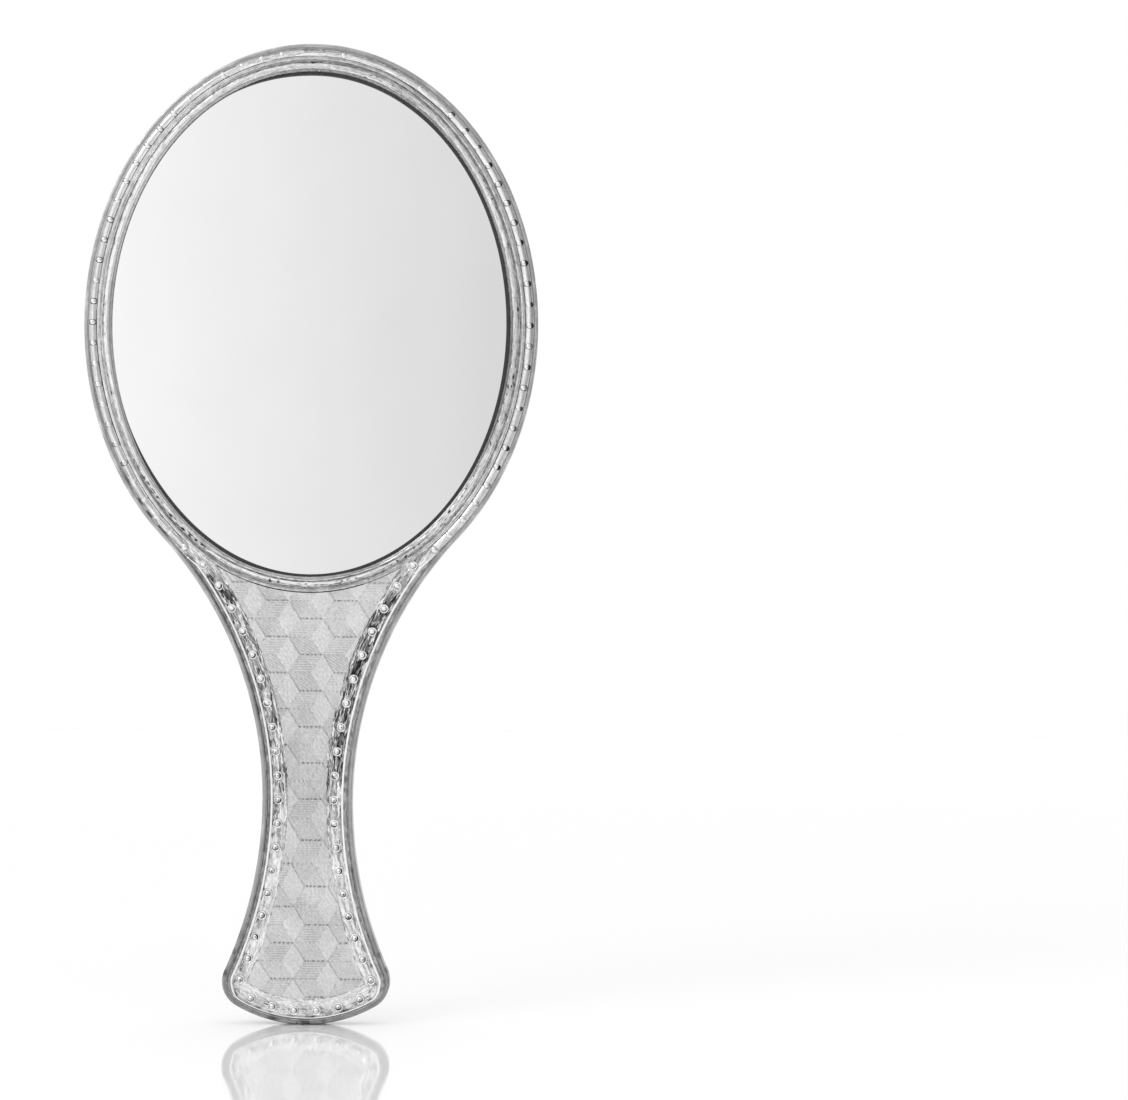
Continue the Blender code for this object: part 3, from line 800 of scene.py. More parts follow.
@dataclass(frozen=True)
class PanelPlate(SilverPlate):
    """Satin silver plate with a rolled grain, and fine lines across two faces of each block.

    The lines are about 0.55 mm apart on the real panel, which is under two pixels, so they are
    drawn coarser to show.
    """

    line_mm: float = 0.7
    line_tone: float = 0.13
    line_depth_mm: float = 0.012
    patch_mm: float = 7.0
    lean: float = math.radians(58)

    def dress(self, tree: Tree, shader: Node) -> None:
        """Cut lines into the faces that carry them, and feed the rest as plain plate.

        Args:
            tree: the material's nodes.
            shader: its Principled shader.
        """
        shade, place = self.shade(tree)
        scale = WAVE_BAND * per_metre(self.line_mm)
        lines: list[Socket] = []
        for name, turn in (("diagonal", self.lean), ("level", math.pi / 2)):
            way = add_node(tree, "Mapping", {"Vector": place, "Rotation": (0, turn, 0)})
            ruled = {"Vector": way, "Scale": scale, "Distortion": 0.0}
            wave = add_node(tree, "TexWave", ruled, out="Fac", bands_direction="X")
            share = add_node(tree, "Attribute", out="Fac", attribute_name=name)
            lines.append(add_node(tree, "Math", {0: wave, 1: share}, operation="MULTIPLY"))
        both = add_node(tree, "Math", {0: lines[0], 1: lines[1]})
        # The lines are worn away in patches
        scale = per_metre(self.patch_mm)
        wear = add_node(tree, "TexNoise", {"Vector": place, "Scale": scale, "Detail": 2.0})
        kept = add_node(tree, "MapRange", {"Value": wear, "From Min": 0.38, "From Max": 0.6})
        depth = add_node(tree, "Math", {0: both, 1: kept}, operation="MULTIPLY")
        darker = {0: depth, 1: -self.line_tone, 2: shade}
        shaded = add_node(tree, "Math", darker, operation="MULTIPLY_ADD", use_clamp=True)
        self.finish_shader(tree, shader, shaded)
        scale = per_metre(self.pit_mm)
        grain = add_node(tree, "TexNoise", {"Vector": place, "Scale": scale, "Detail": 3.0})
        share = self.pit_depth_mm / self.line_depth_mm
        height = add_node(tree, "Math", {0: grain, 1: share, 2: depth}, operation="MULTIPLY_ADD")
        relief = {"Height": height, "Distance": self.line_depth_mm * MM, "Strength": 1.0}
        bump = add_node(tree, "Bump", relief, invert=True)
        tree.links.new(bump, shader.inputs["Normal"])


@dataclass(frozen=True)
class Speckled(Finish):
    """A plain stuff with a fine two-colour speckle, uneven gloss and a fine texture."""

    dark: str
    light: str
    speck_mm: float
    smoothest: float
    roughest: float
    texture_mm: float
    depth_mm: float = 0.01
    metallic: float = 0.0

    def dress(self, tree: Tree, shader: Node) -> None:
        """Feed one noise to the colour and roughness, and a finer one to the normal.

        Args:
            tree: the material's nodes.
            shader: its Principled shader.
        """
        place = add_node(tree, "TexCoord", out="Object")
        scale = per_metre(self.speck_mm)
        speck = add_node(tree, "TexNoise", {"Vector": place, "Scale": scale, "Detail": 4.0})
        stops = ((0.3, self.dark), (0.7, self.light))
        colour = add_node(tree, "ValToRGB", {"Fac": speck}, stops=stops)
        gloss = {"Value": speck, "From Min": 0.3, "From Max": 0.7}
        gloss |= {"To Min": self.smoothest, "To Max": self.roughest}
        rough = add_node(tree, "MapRange", gloss)
        scale, depth = per_metre(self.texture_mm), self.depth_mm * MM
        texture = add_node(tree, "TexNoise", {"Vector": place, "Scale": scale, "Detail": 2.0})
        bump = add_node(tree, "Bump", {"Height": texture, "Distance": depth, "Strength": 1.0})
        shader.inputs["Metallic"].default_value = self.metallic
        tree.links.new(colour, shader.inputs["Base Color"])
        tree.links.new(rough, shader.inputs["Roughness"])
        tree.links.new(bump, shader.inputs["Normal"])


@dataclass
class FrontFrame:
    """The plated front moulding: stepped rim, handle lip, channel and the recess of the panel."""

    outline: Outline
    # Silver plate on a cast face: crests painted bright as highlight and wear, hollows painted dark
    # as shade, and painted crease streaks along the lines
    finish: Finish = SilverPlate("cast_silver_plate", crease_mm=0.45, crease=0.45)
    rim_spacing: float = 0.5
    rim_split: float = 0.3
    band_spacing: float = 0.5
    band_split: float = 0.5
    band_run: float = 0.5
    edge: float = 1.1
    low: float = 0.7
    floor: float = 2.95
    floor_slack: float = 0.06
    floor_drop: float = 0.03
    seen_above: float = 3.3
    neck_half: float = 30.0
    pocket_floor: float = 1.8
    pocket_inset: float = 7.1
    pocket_lap: float = 0.05
    pocket_ends: tuple[float, float] = (-56.6, 62.0)
    pocket_foot: float = -46.0
    pocket_step: float = 0.25
    pocket_tone: float = 0.3
    wall_step: float = 0.1
    hammer_depth: float = 0.02
    fleck_depth: float = 0.9
    lip_lean: float = 0.06
    streak_stretch: float = 14.0
    rim_streaks: float = 1.5
    screw_hole: float = 1.5

    def rim_profile(self) -> Array:
        """Draw the rim's section: body, fillet, groove, hammered ridge and inner slope.

        Returns:
            Inset, height and tone of each point.
        """
        fillet = self.outline.fillet
        # Inset, height, ease and tone of each corner; the tones paint shade into the floor and the
        # groove, and a highlight on the ridge's crest
        corners = [
            (self.edge, self.low, 0.0, UNSEEN),
            (self.edge, self.floor, 0.02, 0.44),
            (fillet, self.floor, 0.05, 0.74),
            (fillet, 4.0, 0.2, 0.78),
            (4.65, 4.0, 0.2, 0.88),
            (4.7, 3.8, 0.05, 0.64),
            (4.95, 3.8, 0.05, 0.64),
            (5.05, 4.4, 0.1, 0.72),
            (5.5, 4.8, 0.2, 0.78),
            (5.8, 4.92, 0.2, 0.97),
            (6.7, 4.95, 0.2, 1.0),
            (7.05, 4.8, 0.12, 0.9),
            (7.25, 4.3, 0.1, 0.64),
            (8.05, 2.9, 0.05, 0.58),
            (4.5, 2.9, 0.0, UNSEEN),
            (4.5, self.low, 0.0, UNSEEN),
        ]
        return eased(corners, self.rim_split)

    def rim(self, skin: Skin) -> None:
        """Add the rim: its section carried round the oval, with the ridge hammered.

        Args:
            skin: the frame's surfaces.
        """
        outline = self.outline
        length = math.pi * (outline.head_a + outline.head_b)
        count = int(length / self.rim_spacing)
        path = outline.oval(np.linspace(-math.pi / 2, 1.5 * math.pi, count, endpoint=False))
        inset, height, tone = self.rim_profile().T
        grid = path.carry(inset + outline.drift(path, inset), height)
        x, y = grid[..., 0], grid[..., 1]
        along = path.runs()[:, None]
        shown = height > self.seen_above
        ridge = between(inset, 4.9, 5.5, 6.9, 7.4) * shown
        hammered = Ripple(1.5, 11, 4.0).at(along, inset)
        hammered = hammered + 0.6 * Ripple(0.7, 12, 3.0).at(along, inset)
        grid[..., 2] += self.hammer_depth * ridge * hammered
        # Under the panel the floor of the rim drops to the floor of the panel's recess
        under = (path.y < outline.head_y) & (np.abs(path.x) < self.neck_half)
        at_floor = np.abs(height - self.floor) < self.floor_slack
        grid[..., 2] -= (self.floor - self.pocket_floor) * under[:, None] * at_floor
        # Black flecks lie in groups along the ridge's outer half, and inside it at lower right;
        # towards the bright side of the light tent the groups are painted fainter, as painted light
        lit = outline.lit(path)
        outer_half = between(inset, 5.1, 5.4, 5.9, 6.3) * shown
        inner_edge = between(inset, 6.3, 6.5, 6.9, 7.1) * shown
        near_neck = outline.towards(path, NECK_LEFT, 0.965, 0.99)
        corner = outline.towards(path, LOWER_RIGHT, 0.9, 0.97)
        spots = Ripple(1.1, 13, 1.8).at(along, inset)
        groups = smooth(Ripple(14.0, 14).at(x, y), -0.25, 0.15) * (1 - 0.7 * lit)
        flecks = smooth(spots, 0.8, 1.0) * groups + smooth(spots, 0.1, 0.5) * near_neck
        flecks = flecks * outer_half + smooth(spots, 0.9, 1.1) * corner * inner_edge
        shading_and_marks = self.shading_and_marks(path, inset, height)
        streaked = between(inset, 3.6, 3.9, 7.0, 7.4) * shown
        skin.sweep(
            grid,
            Ends.JOINED,
            tone=tone + shading_and_marks - self.fleck_depth * np.clip(flecks, 0, 1),
            along=along / self.streak_stretch,
            across=inset * self.rim_streaks,
            worn=streaked * (0.5 + 0.2 * ridge) * (1 - 0.3 * lit),
        )

    def shading_and_marks(self, path: Path, inset: Array, height: Array) -> Array:
        """Give how painted light and shade, with some darker marks, change the rim's tone from line
        to line and place to place.

        Each term is a band of the section, which eases in and out, times an amount round the head.

        Args:
            path: points of the outline.
            inset: inset of each profile point.
            height: height of each profile point.

        Returns:
            Changes of tone, one row for each path point.
        """
        outline = self.outline
        lit = outline.lit(path)
        right = outline.towards(path, RIGHT, 0.5, 0.9)
        away = outline.towards(path, INNER_DARK, -0.85, 0.0)
        top = outline.towards(path, TOP, 0.6, 0.9)
        peak = outline.towards(path, TOP, 0.95, 1.0)
        upper = outline.towards(path, UPPER_LEFT, 0.85, 1.0)
        pale = outline.towards(path, UPPER_LEFT, 0.6, 0.95)
        left = outline.towards(path, LEFT, 0.85, 1.0)
        lower = outline.towards(path, LOWER_LEFT, 0.85, 1.0)
        bottom = outline.towards(path, BOTTOM, 0.75, 0.95)
        corner = outline.towards(path, LOWER_RIGHT, 0.6, 0.95)
        # Beside the neck's left the seam of the trim is black here and there, and the groove darker
        neck = outline.towards(path, NECK_LEFT, 0.965, 0.99)
        broken = smooth(Ripple(6.0, 15).at(path.x, path.y), -0.4, 0.3)[:, None]
        shown = height > self.seen_above
        floor = (np.abs(height - self.floor) < self.floor_slack) & (inset < 2.0)
        edge = (1 - smooth(inset, 3.8, 3.95)) * (inset > 3.5) * (height > 2.85)
        fillet = (1 - smooth(inset, 4.5, 4.75)) * shown
        hollow = smooth(inset, 4.0, 4.4) * fillet
        groove = between(inset, 4.6, 4.75, 5.0, 5.15) * shown
        step = between(inset, 4.8, 4.95, 5.2, 5.4) * shown
        start = 4.7 + 0.35 * lit
        flank = smooth(inset - start, 0, 0.25) * (1 - smooth(inset, 5.5, 5.95)) * shown
        shoulder = between(inset, 5.1, 5.3, 5.7, 6.0) * shown
        ridge = between(inset, 4.9, 5.5, 6.9, 7.4) * shown
        dip = bell(inset, 5.95, 0.2) * shown
        crown = between(inset, 5.95, 6.25, 6.7, 7.0) * shown
        # At the bottom a dark line runs inside the crest, and bends outwards on both sides
        bend = 6.15 + 0.45 * outline.towards(path, BOTTOM, 0.9, 1.0)
        line = bell(inset, bend, 0.24) * shown
        inner_half = between(inset, 6.2, 6.9, 7.2, 7.5) * shown
        bezel = smooth(inset, 7.2, 8.0) * (height > 2.0)
        # Most of these amounts paint light and shade: lighter towards the bright side of the light
        # tent and darker away from it, at the top, bottom and lower right
        terms = (
            (floor, 0.22 * (1 - lit) + 0.25 * pale - 0.4 * neck * broken),
            (edge, 0.4 * lower + 0.1 * right + 0.2 * corner - 0.35 * upper),
            (fillet, 0.1 * lit - 0.1),
            (hollow, -0.2 * bottom),
            (groove, -0.15 * neck),
            (step, 0.16 * left + 0.1 * upper),
            (flank, -0.14 - 0.06 * lit - 0.04 * top),
            (shoulder, -0.16 * peak - 0.22 * upper),
            (ridge * (flank < 0.1), 0.08 * lit),
            (dip, -0.2 * lower),
            (crown, -0.15 * lower - 0.1 * top),
            (line, -0.65 * bottom),
            (inner_half, 0.08 * lit - 0.08 - 0.14 * top - 0.1 * bottom - 0.3 * corner),
            (bezel, 0.16 - 0.2 * away + 0.1 * lit - 0.22 * corner - 0.08 * bottom),
            (shown, -0.06 * top),
        )
        return sum(band * amount for band, amount in terms)

    def band_profile(self) -> Array:
        """Draw the section of the handle's edge: body, seam painted dark as shadow, lip with a
        crest painted bright as a highlight, and channel.

        Returns:
            Inset, height and tone of each point.
        """
        floor = self.floor - self.floor_drop
        outer, inner = self.outline.lip_outer, self.outline.lip_inner
        # Inset, height, ease and tone of each corner
        corners = [
            (self.edge, self.low, 0.0, UNSEEN),
            (self.edge, floor, 0.02, 0.55),
            (outer, floor, 0.05, 0.12),
            (outer + 0.1, 3.7, 0.3, 0.5),
            (inner - 0.65, 4.75, 0.1, 0.5),
            (inner - 0.52, 4.95, 0.06, 1.0),
            (inner - 0.02, 4.95, 0.06, 1.0),
            (inner, floor, 0.08, 0.85),
            (self.pocket_inset, floor, 0.05, 0.7),
            (self.pocket_inset, self.low, 0.0, UNSEEN),
        ]
        return eased(corners, self.band_split)

    def band(self, skin: Skin) -> None:
        """Add the handle's lip and channel: their section carried round the U of the handle.

        The lip starts as a wedge beside the rim, because its width is cut where the head begins.

        Args:
            skin: the frame's surfaces.
        """
        outline = self.outline
        floor = self.floor - self.floor_drop
        outer, inner = outline.lip_outer, outline.lip_inner
        inset, height, tone = self.band_profile().T
        path = outline.handle(self.band_run, self.band_spacing)
        edge, _ = outline.channel(path)
        share = ((edge - outer) / (inner - outer))[:, None]
        is_lip = (inset > outer) & (inset < inner + 0.1)
        # The bright edge lies a little to the right of the lip's middle on both sides
        aside = (0.18 * smooth(path.x, -5, 5) - 0.12)[:, None] * (inset > outer + 0.05)
        insets = np.where(is_lip, outer + (inset - outer - aside) * share, inset)
        rise = np.clip(share * 2.5, 0, 1)
        heights = np.where(height > floor, floor + (height - floor) * rise, height)
        # The right-hand lip leans a little inwards, towards the light
        lean = smooth(path.x, 0, 4)[:, None] * (inset > inner - 0.25) * (height > 4.5)
        grid = path.carry(insets, heights - self.lip_lean * lean)
        x, y = grid[..., 0], grid[..., 1]
        # The seam beside the lip is painted dark as shadow, blackest on the left, and so is the
        # lip's outer flank; towards the foot the flank and its crest are painted lighter
        flank = (inset > 1.2) & (inset < inner - 0.58) & (height > 2.0)
        seam = (inset > 1.2) & (inset < outer + 0.07) & (height > 2.0)
        crest = flank & (inset > inner - 0.9)
        foot = smooth(-y, 52, 60)
        left = smooth(-x, -3, 6)
        neck = smooth(y, 5, 30) * left
        tones = tone + 0.05 * Ripple(3.0, 21).at(x, y) * flank
        tones = tones + (0.3 * foot - 0.07 * left) * flank + 0.18 * foot * crest
        skin.sweep(
            grid,
            Ends.CAPPED,
            tone=tones + seam * (0.38 - 0.05 * left - 0.17 * neck),
            along=path.runs()[:, None] / self.streak_stretch,
            across=inset,
            worn=0.4 * flank,
        )

    def pocket(self, skin: Skin) -> None:
        """Add the floor of the panel's recess, as two halves that part round each screw hole.

        Every row runs from the half chord of the hole, sqrt(r^2 - d^2), out to the recess's wall.

        Args:
            skin: the frame's surfaces.
        """
        side = self.outline.side()
        fine = side.at(np.arange(self.outline.head_run(), side.runs()[-1], self.wall_step))
        edge = fine.carry(np.array([self.pocket_inset + self.pocket_lap]), 0.0)[:, 0]
        rows = np.arange(*self.pocket_ends, self.pocket_step)
        wall = np.interp(rows, edge[::-1, 1], edge[::-1, 0])
        foot = self.outline.foot_radius - self.pocket_inset
        under = np.sqrt(np.clip(foot**2 - (rows - self.outline.foot_y) ** 2, 0, None))
        wall = np.where(rows < self.pocket_foot, np.minimum(wall, under), wall)
        gap = np.abs(rows[:, None] - np.array(SCREWS))
        hole = np.sqrt(np.clip(self.screw_hole**2 - gap**2, 0, None)).max(axis=1)
        tops = np.array([self.pocket_floor, self.pocket_floor, self.low, self.low])
        for way in (1, -1):
            x = np.stack([hole, wall, wall, hole], axis=1) * way
            y = np.broadcast_to(rows[:, None], x.shape)
            grid = np.stack([x, y, np.broadcast_to(tops, x.shape)], axis=-1)
            index = np.arange(x.size).reshape(x.shape)
            quads = patches(np.hstack([index, index[:, :1]])).reshape(-1, 4, 4)
            # The inner wall of a row is real only where there is a hole beside it
            real = np.ones(quads.shape[:2], bool)
            real[:, 3] = (hole[:-1] > 0) | (hole[1:] > 0)
            skin.add(grid, quads[real], (index[0], index[-1]), tone=self.pocket_tone)

    def build(self) -> None:
        """Make the front frame."""
        skin = Skin("front_frame_plate")
        self.rim(skin)
        self.band(skin)
        self.pocket(skin)
        skin.piece(self.finish, "silver_plate", "front_frame")


@dataclass
class EdgeTrim:
    """The T-section strip round the edge, with its two ends meeting near the foot's middle."""

    outline: Outline
    # Drawn nickel with a satin finish: an even mid grey with faint painted crease streaks of shade
    # and highlight along it
    finish: Finish = SilverPlate(
        "satin_nickel_trim",
        grey="#8A8A8B",
        silver="#B4B4B5",
        mottle=0.06,
        mottle_mm=2.5,
        bright=0.28,
    )
    half_width: float = 3.0
    thickness: float = 1.08
    tongue: float = 0.4
    tip: float = 2.6
    joint: float = 2.3
    gap: float = 0.4
    spacing: float = 0.6
    split: float = 1.2
    streak_stretch: float = 12.0

    def build(self) -> None:
        """Carry the T section round the outline, from one side of the joint to the other."""
        # Inset, height, ease and tone of each corner
        upper = [
            (0.0, self.half_width, 0.35, 0.72),
            (self.thickness, self.half_width, 0.08, 0.70),
            (self.thickness, self.tongue, 0.0, UNSEEN),
            (self.tip, self.tongue, 0.1, UNSEEN),
        ]
        lower = [(inset, -height, ease, tone) for inset, height, ease, tone in reversed(upper)]
        inset, height, tone = eased(upper + lower, self.split).T
        side = self.outline.side()
        ring = side.mirrored().then(side)
        length = ring.runs()[-1]
        start = self.joint + self.gap / 2
        end = length + self.joint - self.gap / 2
        runs = np.linspace(start, end, int(length / self.spacing))
        grid = ring.then(ring).at(runs).carry(inset, height)
        x, y = grid[..., 0], grid[..., 1]
        mottled = 0.05 * Ripple(9.0, 31).at(x, y)
        # Darker along the handle; round the foot shade is painted where the trim faces down, with
        # black spots of tarnish there
        handle, low = smooth(-y, -50, -20), smooth(-y, 25, 52)
        spots = smooth(Ripple(5.0, 32).at(x, y), 0.4, 1.0)
        tarnish_and_shade = 0.05 * handle + (0.16 + 0.3 * spots) * low
        skin = Skin("edge_trim_strip")
        skin.sweep(
            grid,
            Ends.CAPPED,
            tone=tone + mottled - tarnish_and_shade,
            along=runs[:, None] / self.streak_stretch,
            across=inset + height,
            worn=0.16,
        )
        skin.piece(self.finish, "silver_plate", "edge_trim")


@dataclass
class RimBeading:
    """The half-round rod on the rim, with a small bead set on it at every step."""

    outline: Outline
    # Polished silver wire: nearly white, with crisp reflections and a few painted crease streaks
    finish: Finish = SilverPlate(
        "polished_silver_beading",
        mottle=0.06,
        mottle_mm=0.9,
        crease_mm=0.5,
        crease=0.35,
        bright=0.14,
    )
    inset: float = 2.45
    # Degrees about the head's middle, and how far inside the channel's middle the rod lies there
    wander: tuple[tuple[float, float], ...] = (
        (0, -0.2),
        (40, -0.03),
        (70, -0.05),
        (90, 0.1),
        (110, 0.0),
        (140, 0.15),
        (165, 0.1),
        (182, -0.04),
        (215, 0.35),
        (245, 0.1),
        (325, -0.2),
    )
    base: float = 3.0
    half_width: float = 1.2
    fuller: float = 0.12
    height: float = 1.0
    pitch: float = 5.95
    bead: float = 1.1
    bead_foot: float = 0.72
    bead_rise: float = 0.22
    bead_sink: float = 0.14
    end_run: float = 10.0
    fade_run: float = 6.0
    spacing: float = 0.5
    round_steps: int = 17
    dome_steps: int = 9
    turn_steps: int = 20
    streak_stretch: float = 14.0
    seed: int = 61

    def middle(self, path: Path) -> Array:
        """Find the rod's middle, which wanders about the middle of the channel.

        Args:
            path: points of the outline.

        Returns:
            The inset at each point, as a column.
        """
        turn = np.degrees(self.outline.turn(path.x, path.y))
        angles, offsets = np.array(self.wander).T
        aside = np.interp(turn, angles, offsets, period=360)
        return (sum(self.outline.channel(path)) / 2 + aside)[:, None]

    def rod(self, skin: Skin, arc: Path) -> None:
        """Add the rod: half an ellipse carried along the rim, sinking into the channel at its ends.

        Args:
            skin: the beading's surfaces.
            arc: outline from one side of the neck, over the top, to the other.
        """
        outline = self.outline
        length = arc.runs(self.inset)[-1]
        runs = np.linspace(0, length, int(length / self.spacing))
        path = arc.at(runs, self.inset)
        angle = np.linspace(0, math.pi, self.round_steps)
        across, up = np.cos(angle), np.sin(angle) ** 0.8
        fade = 0.3 + 0.7 * smooth(np.minimum(runs, length - runs), 0, self.fade_run)[:, None]
        lit = outline.lit(path)
        half_width = self.half_width + self.fuller * (1 - lit) * (across < 0)
        insets = self.middle(path) - half_width * across
        grid = path.carry(insets, self.base + self.height * up * fade)
        # The inner side is painted bright as a highlight, the outer side only where it is lit;
        # shade is painted along the rod's foot and seams, and it is darker at the top and by the
        # neck
        top = outline.towards(path, TOP, 0.7, 0.95)
        corner = outline.towards(path, LOWER_RIGHT, 0.85, 1.0)
        neck = outline.towards(path, NECK_LEFT, 0.96, 0.99)
        outer = smooth(across, -0.05, 0.75)
        low = (1 - smooth(up, 0.0, 0.35)) * np.where(across > 0, 1.0, 1.6 * lit - 0.6)
        seam = (smooth(across, 0.82, 0.97) + 1.4 * smooth(-across, 0.6, 0.92)) * lit
        tone = 0.95 - 0.01 * lit - (0.32 - 0.12 * lit + 0.14 * top) * outer
        tone = tone - 0.12 * low - 0.09 * top - 0.2 * seam - 0.06 * neck
        skin.sweep(
            grid,
            Ends.CAPPED,
            tone=tone + corner * (0.12 * outer - 0.12 * (1 - outer)),
            along=runs[:, None] / self.streak_stretch,
            across=insets,
            worn=0.25 + 0.5 * top + 0.6 * neck,
        )

    def beads(self, skin: Skin, arc: Path) -> None:
        """Add the beads: an ellipse's quarter turned about an axis, set into the rod.

        Painted shade rings each bead's foot, most at its two ends and more on the lit side, and
        away from the light painted shade blackens the outer side.

        Args:
            skin: the beading's surfaces.
            arc: as for the rod.
        """
        length = arc.runs(self.inset)[-1]
        count = round(length / self.pitch)
        places = arc.at((np.arange(count) + 0.5) * length / count, self.inset)
        spots = places.carry(self.middle(places), 0.0)[:, 0]
        foot = self.base + self.bead_foot
        rise = self.base + self.height + self.bead_rise - foot
        angle = np.linspace(0, math.pi / 2, self.dome_steps)
        radius = np.append(self.bead * np.sin(angle), 0.0)
        height = np.append(foot + rise * np.cos(angle), foot)
        turn = np.linspace(0, FULL_TURN, self.turn_steps, endpoint=False)
        cos, sin = np.cos(turn), np.sin(turn)
        dome = turned(np.stack([radius, height], axis=1), turn)
        lit = self.outline.lit(places)[:, 0]
        top = self.outline.towards(places, TOP, 0.7, 0.95)[:, 0]
        neck = self.outline.towards(places, NECK_LEFT, 0.96, 0.99)[:, 0]
        ends = smooth(np.abs(np.arange(count) - (count - 1) / 2), count / 2 - 6, count / 2 - 2)
        ends = np.maximum(ends, neck)
        draw = np.random.default_rng(self.seed)
        dark = draw.uniform(0.25, 1.0, count) * (1 - lit) * (1 - ends)
        edge = draw.uniform(0.3, 0.6, count) * (1 + 0.6 * lit - 0.7 * top) * (1 - 0.5 * ends)
        # Some stand less proud than others, and at the top and beside the neck they hardly show
        sink = draw.uniform(0.0, self.bead_sink, count)
        spots[:, 2] -= sink + self.bead_sink * np.maximum(top, neck)
        share = radius[:, None] / self.bead
        for spot, nx, ny, shade, rim in zip(spots, places.nx, places.ny, dark, edge):
            outer = smooth(share * (-nx * cos - ny * sin), 0.1, 0.42)
            before = np.abs(nx * sin - ny * cos)
            tone = 0.94 - rim * (0.4 + 0.6 * before) * smooth(share, 0.55, 0.72) - shade * outer
            skin.sweep(dome + spot, Ends.CAPPED, tone=tone)

    def build(self) -> None:
        """Make the rod with its beads."""
        end = self.outline.head_run() + self.end_run
        half = self.outline.side().at(np.linspace(0, end, FINE_POINTS))
        arc = half.mirrored().then(half)
        skin = Skin("rim_beading")
        self.rod(skin, arc)
        self.beads(skin, arc)
        skin.piece(self.finish, "bright_plate", "rim_bead_strip")


@dataclass
class StudStrip:
    """The crinkled foil strip in the handle's channel, with its ringed studs."""

    outline: Outline
    # Silver foil pressed in by hand: creases painted as a highlight beside shade, over random
    # blotches
    finish: Finish = SilverPlate(
        "crinkled_silver_foil",
        mottle=0.10,
        mottle_mm=0.9,
        crease_mm=0.85,
        crease=0.6,
        pit_mm=0.35,
        pit_depth_mm=0.02,
        bright=0.12,
    )
    low: float = 2.95
    top: float = 3.62
    least: float = 0.1
    crinkle: float = 0.05
    lap: float = 0.16
    right_lap: float = 0.5
    start_run: float = 3.0
    rise_run: float = 8.0
    stud_run: float = 14.1
    stud_count: int = 44
    foot_shift: float = 0.8
    left_shift: float = 0.5
    pitch_change: float = 0.102
    dimple_shift: float = 0.18
    brightest: float = 0.97
    crease_stretch: float = 6.0
    spacing: float = 0.3
    section_points: int = 26
    turn_steps: int = 20
    seed: int = 47

    def shading_and_marks(self, x: Array, y: Array, run: Array, across: Array) -> tuple[Array, Array]:
        """Give the foil's look: blotched and darker at neck and waist, whiter towards the foot.

        Args:
            x: plan x of each point.
            y: plan y of each point.
            run: distance of each row of points along the strip, as a column.
            across: inset of each point.

        Returns:
            Tone of each point, and how strongly its creases are painted.
        """
        foot = smooth(-y, -8, 20)
        head = smooth(y, 60, 68)
        dark = smooth(x, -2, 6) * smooth(y, 3, 12) * (1 - smooth(y, 52, 63))
        dark = dark + 0.8 * smooth(-x, 0, 6) * bell(y, 58, 5)
        dark = dark * bell(across, 4.9, 1.5)
        blotch = Ripple(4.2, 41, 2.5).at(run, across)
        # Darker patches lie beside the panel, and near the lip the foot has facets painted grey as
        # shade
        panel_patches = smooth(across, 5.2, 6.6) * smooth(Ripple(6.0, 43).at(run, 0.0), 0.2, 0.8)
        facets = smooth(Ripple(4.5, 48, 0.8).at(run, across), -0.1, 0.5)
        facets = facets * (1 - smooth(across, 4.2, 5.4))
        upper = 0.64 - 0.40 * dark + 0.14 * blotch + 0.16 * head - 0.12 * panel_patches * (1 - head)
        lower = 0.86 + 0.02 * smooth(across, 4.6, 6.2) + 0.06 * blotch - 0.24 * facets
        worn = (1 - foot) * (0.75 + 0.35 * dark - 0.4 * head) + foot * (0.2 + 0.45 * facets)
        return upper * (1 - foot) + lower * foot, worn

    def strip(self, skin: Skin) -> None:
        """Add the foil: a flat section carried round the U, with its top crinkled.

        It starts as a sliver beside the rim, and its inner edge laps raggedly over the panel's.

        Args:
            skin: the strip's surfaces.
        """
        path = self.outline.handle(self.start_run, self.spacing)
        run = path.runs()[:, None]
        outer, inner = (side[:, None] for side in self.outline.channel(path))
        beside = smooth(path.x, 0, 6) * smooth(path.y, 0, 10) * (1 - smooth(path.y, 40, 55))
        inner = inner + self.lap * Ripple(2.4, 46).at(run, 0.0)
        inner = inner + self.right_lap * beside[:, None]
        section = np.concatenate([np.linspace(0, 1, self.section_points), [1.0, 0.0]])
        insets = outer + section * (inner - outer)
        rise = smooth(np.minimum(run, run[-1] - run), 0, self.rise_run)
        top = self.low + self.least + (self.top - self.low - self.least) * rise
        is_top = np.arange(len(section)) < self.section_points
        grid = path.carry(insets, np.where(is_top, top, self.low))
        folds = Ripple(1.2, 44, 6.0).at(run, insets)
        folds = folds + 0.5 * Ripple(0.9, 45, 2.0).at(run, insets)
        edge = between(section, 0.0, 0.08, 0.92, 1.0)
        grid[..., 2] += self.crinkle * folds * edge * is_top * rise
        tone, worn = self.shading_and_marks(grid[..., 0], grid[..., 1], run, insets)
        # The foil's outer edge beside the lip is painted darker as shade
        skin.sweep(
            grid,
            Ends.CAPPED,
            tone=tone - 0.1 * (1 - smooth(section, 0.04, 0.14)) * rise,
            along=run / self.crease_stretch,
            across=insets,
            worn=worn,
        )

    def studs(self, skin: Skin) -> None:
        """Add the studs: a profile turned about an axis, with a dimple beside the top of its boss.

        The dimple is painted dark as shade, lighter on studs towards the neck and by a random
        amount.

        Args:
            skin: the strip's surfaces.
        """
        path = self.outline.handle(self.stud_run, self.spacing)
        inset = (self.outline.lip_inner + self.outline.panel) / 2
        length = path.runs(inset)[-1]
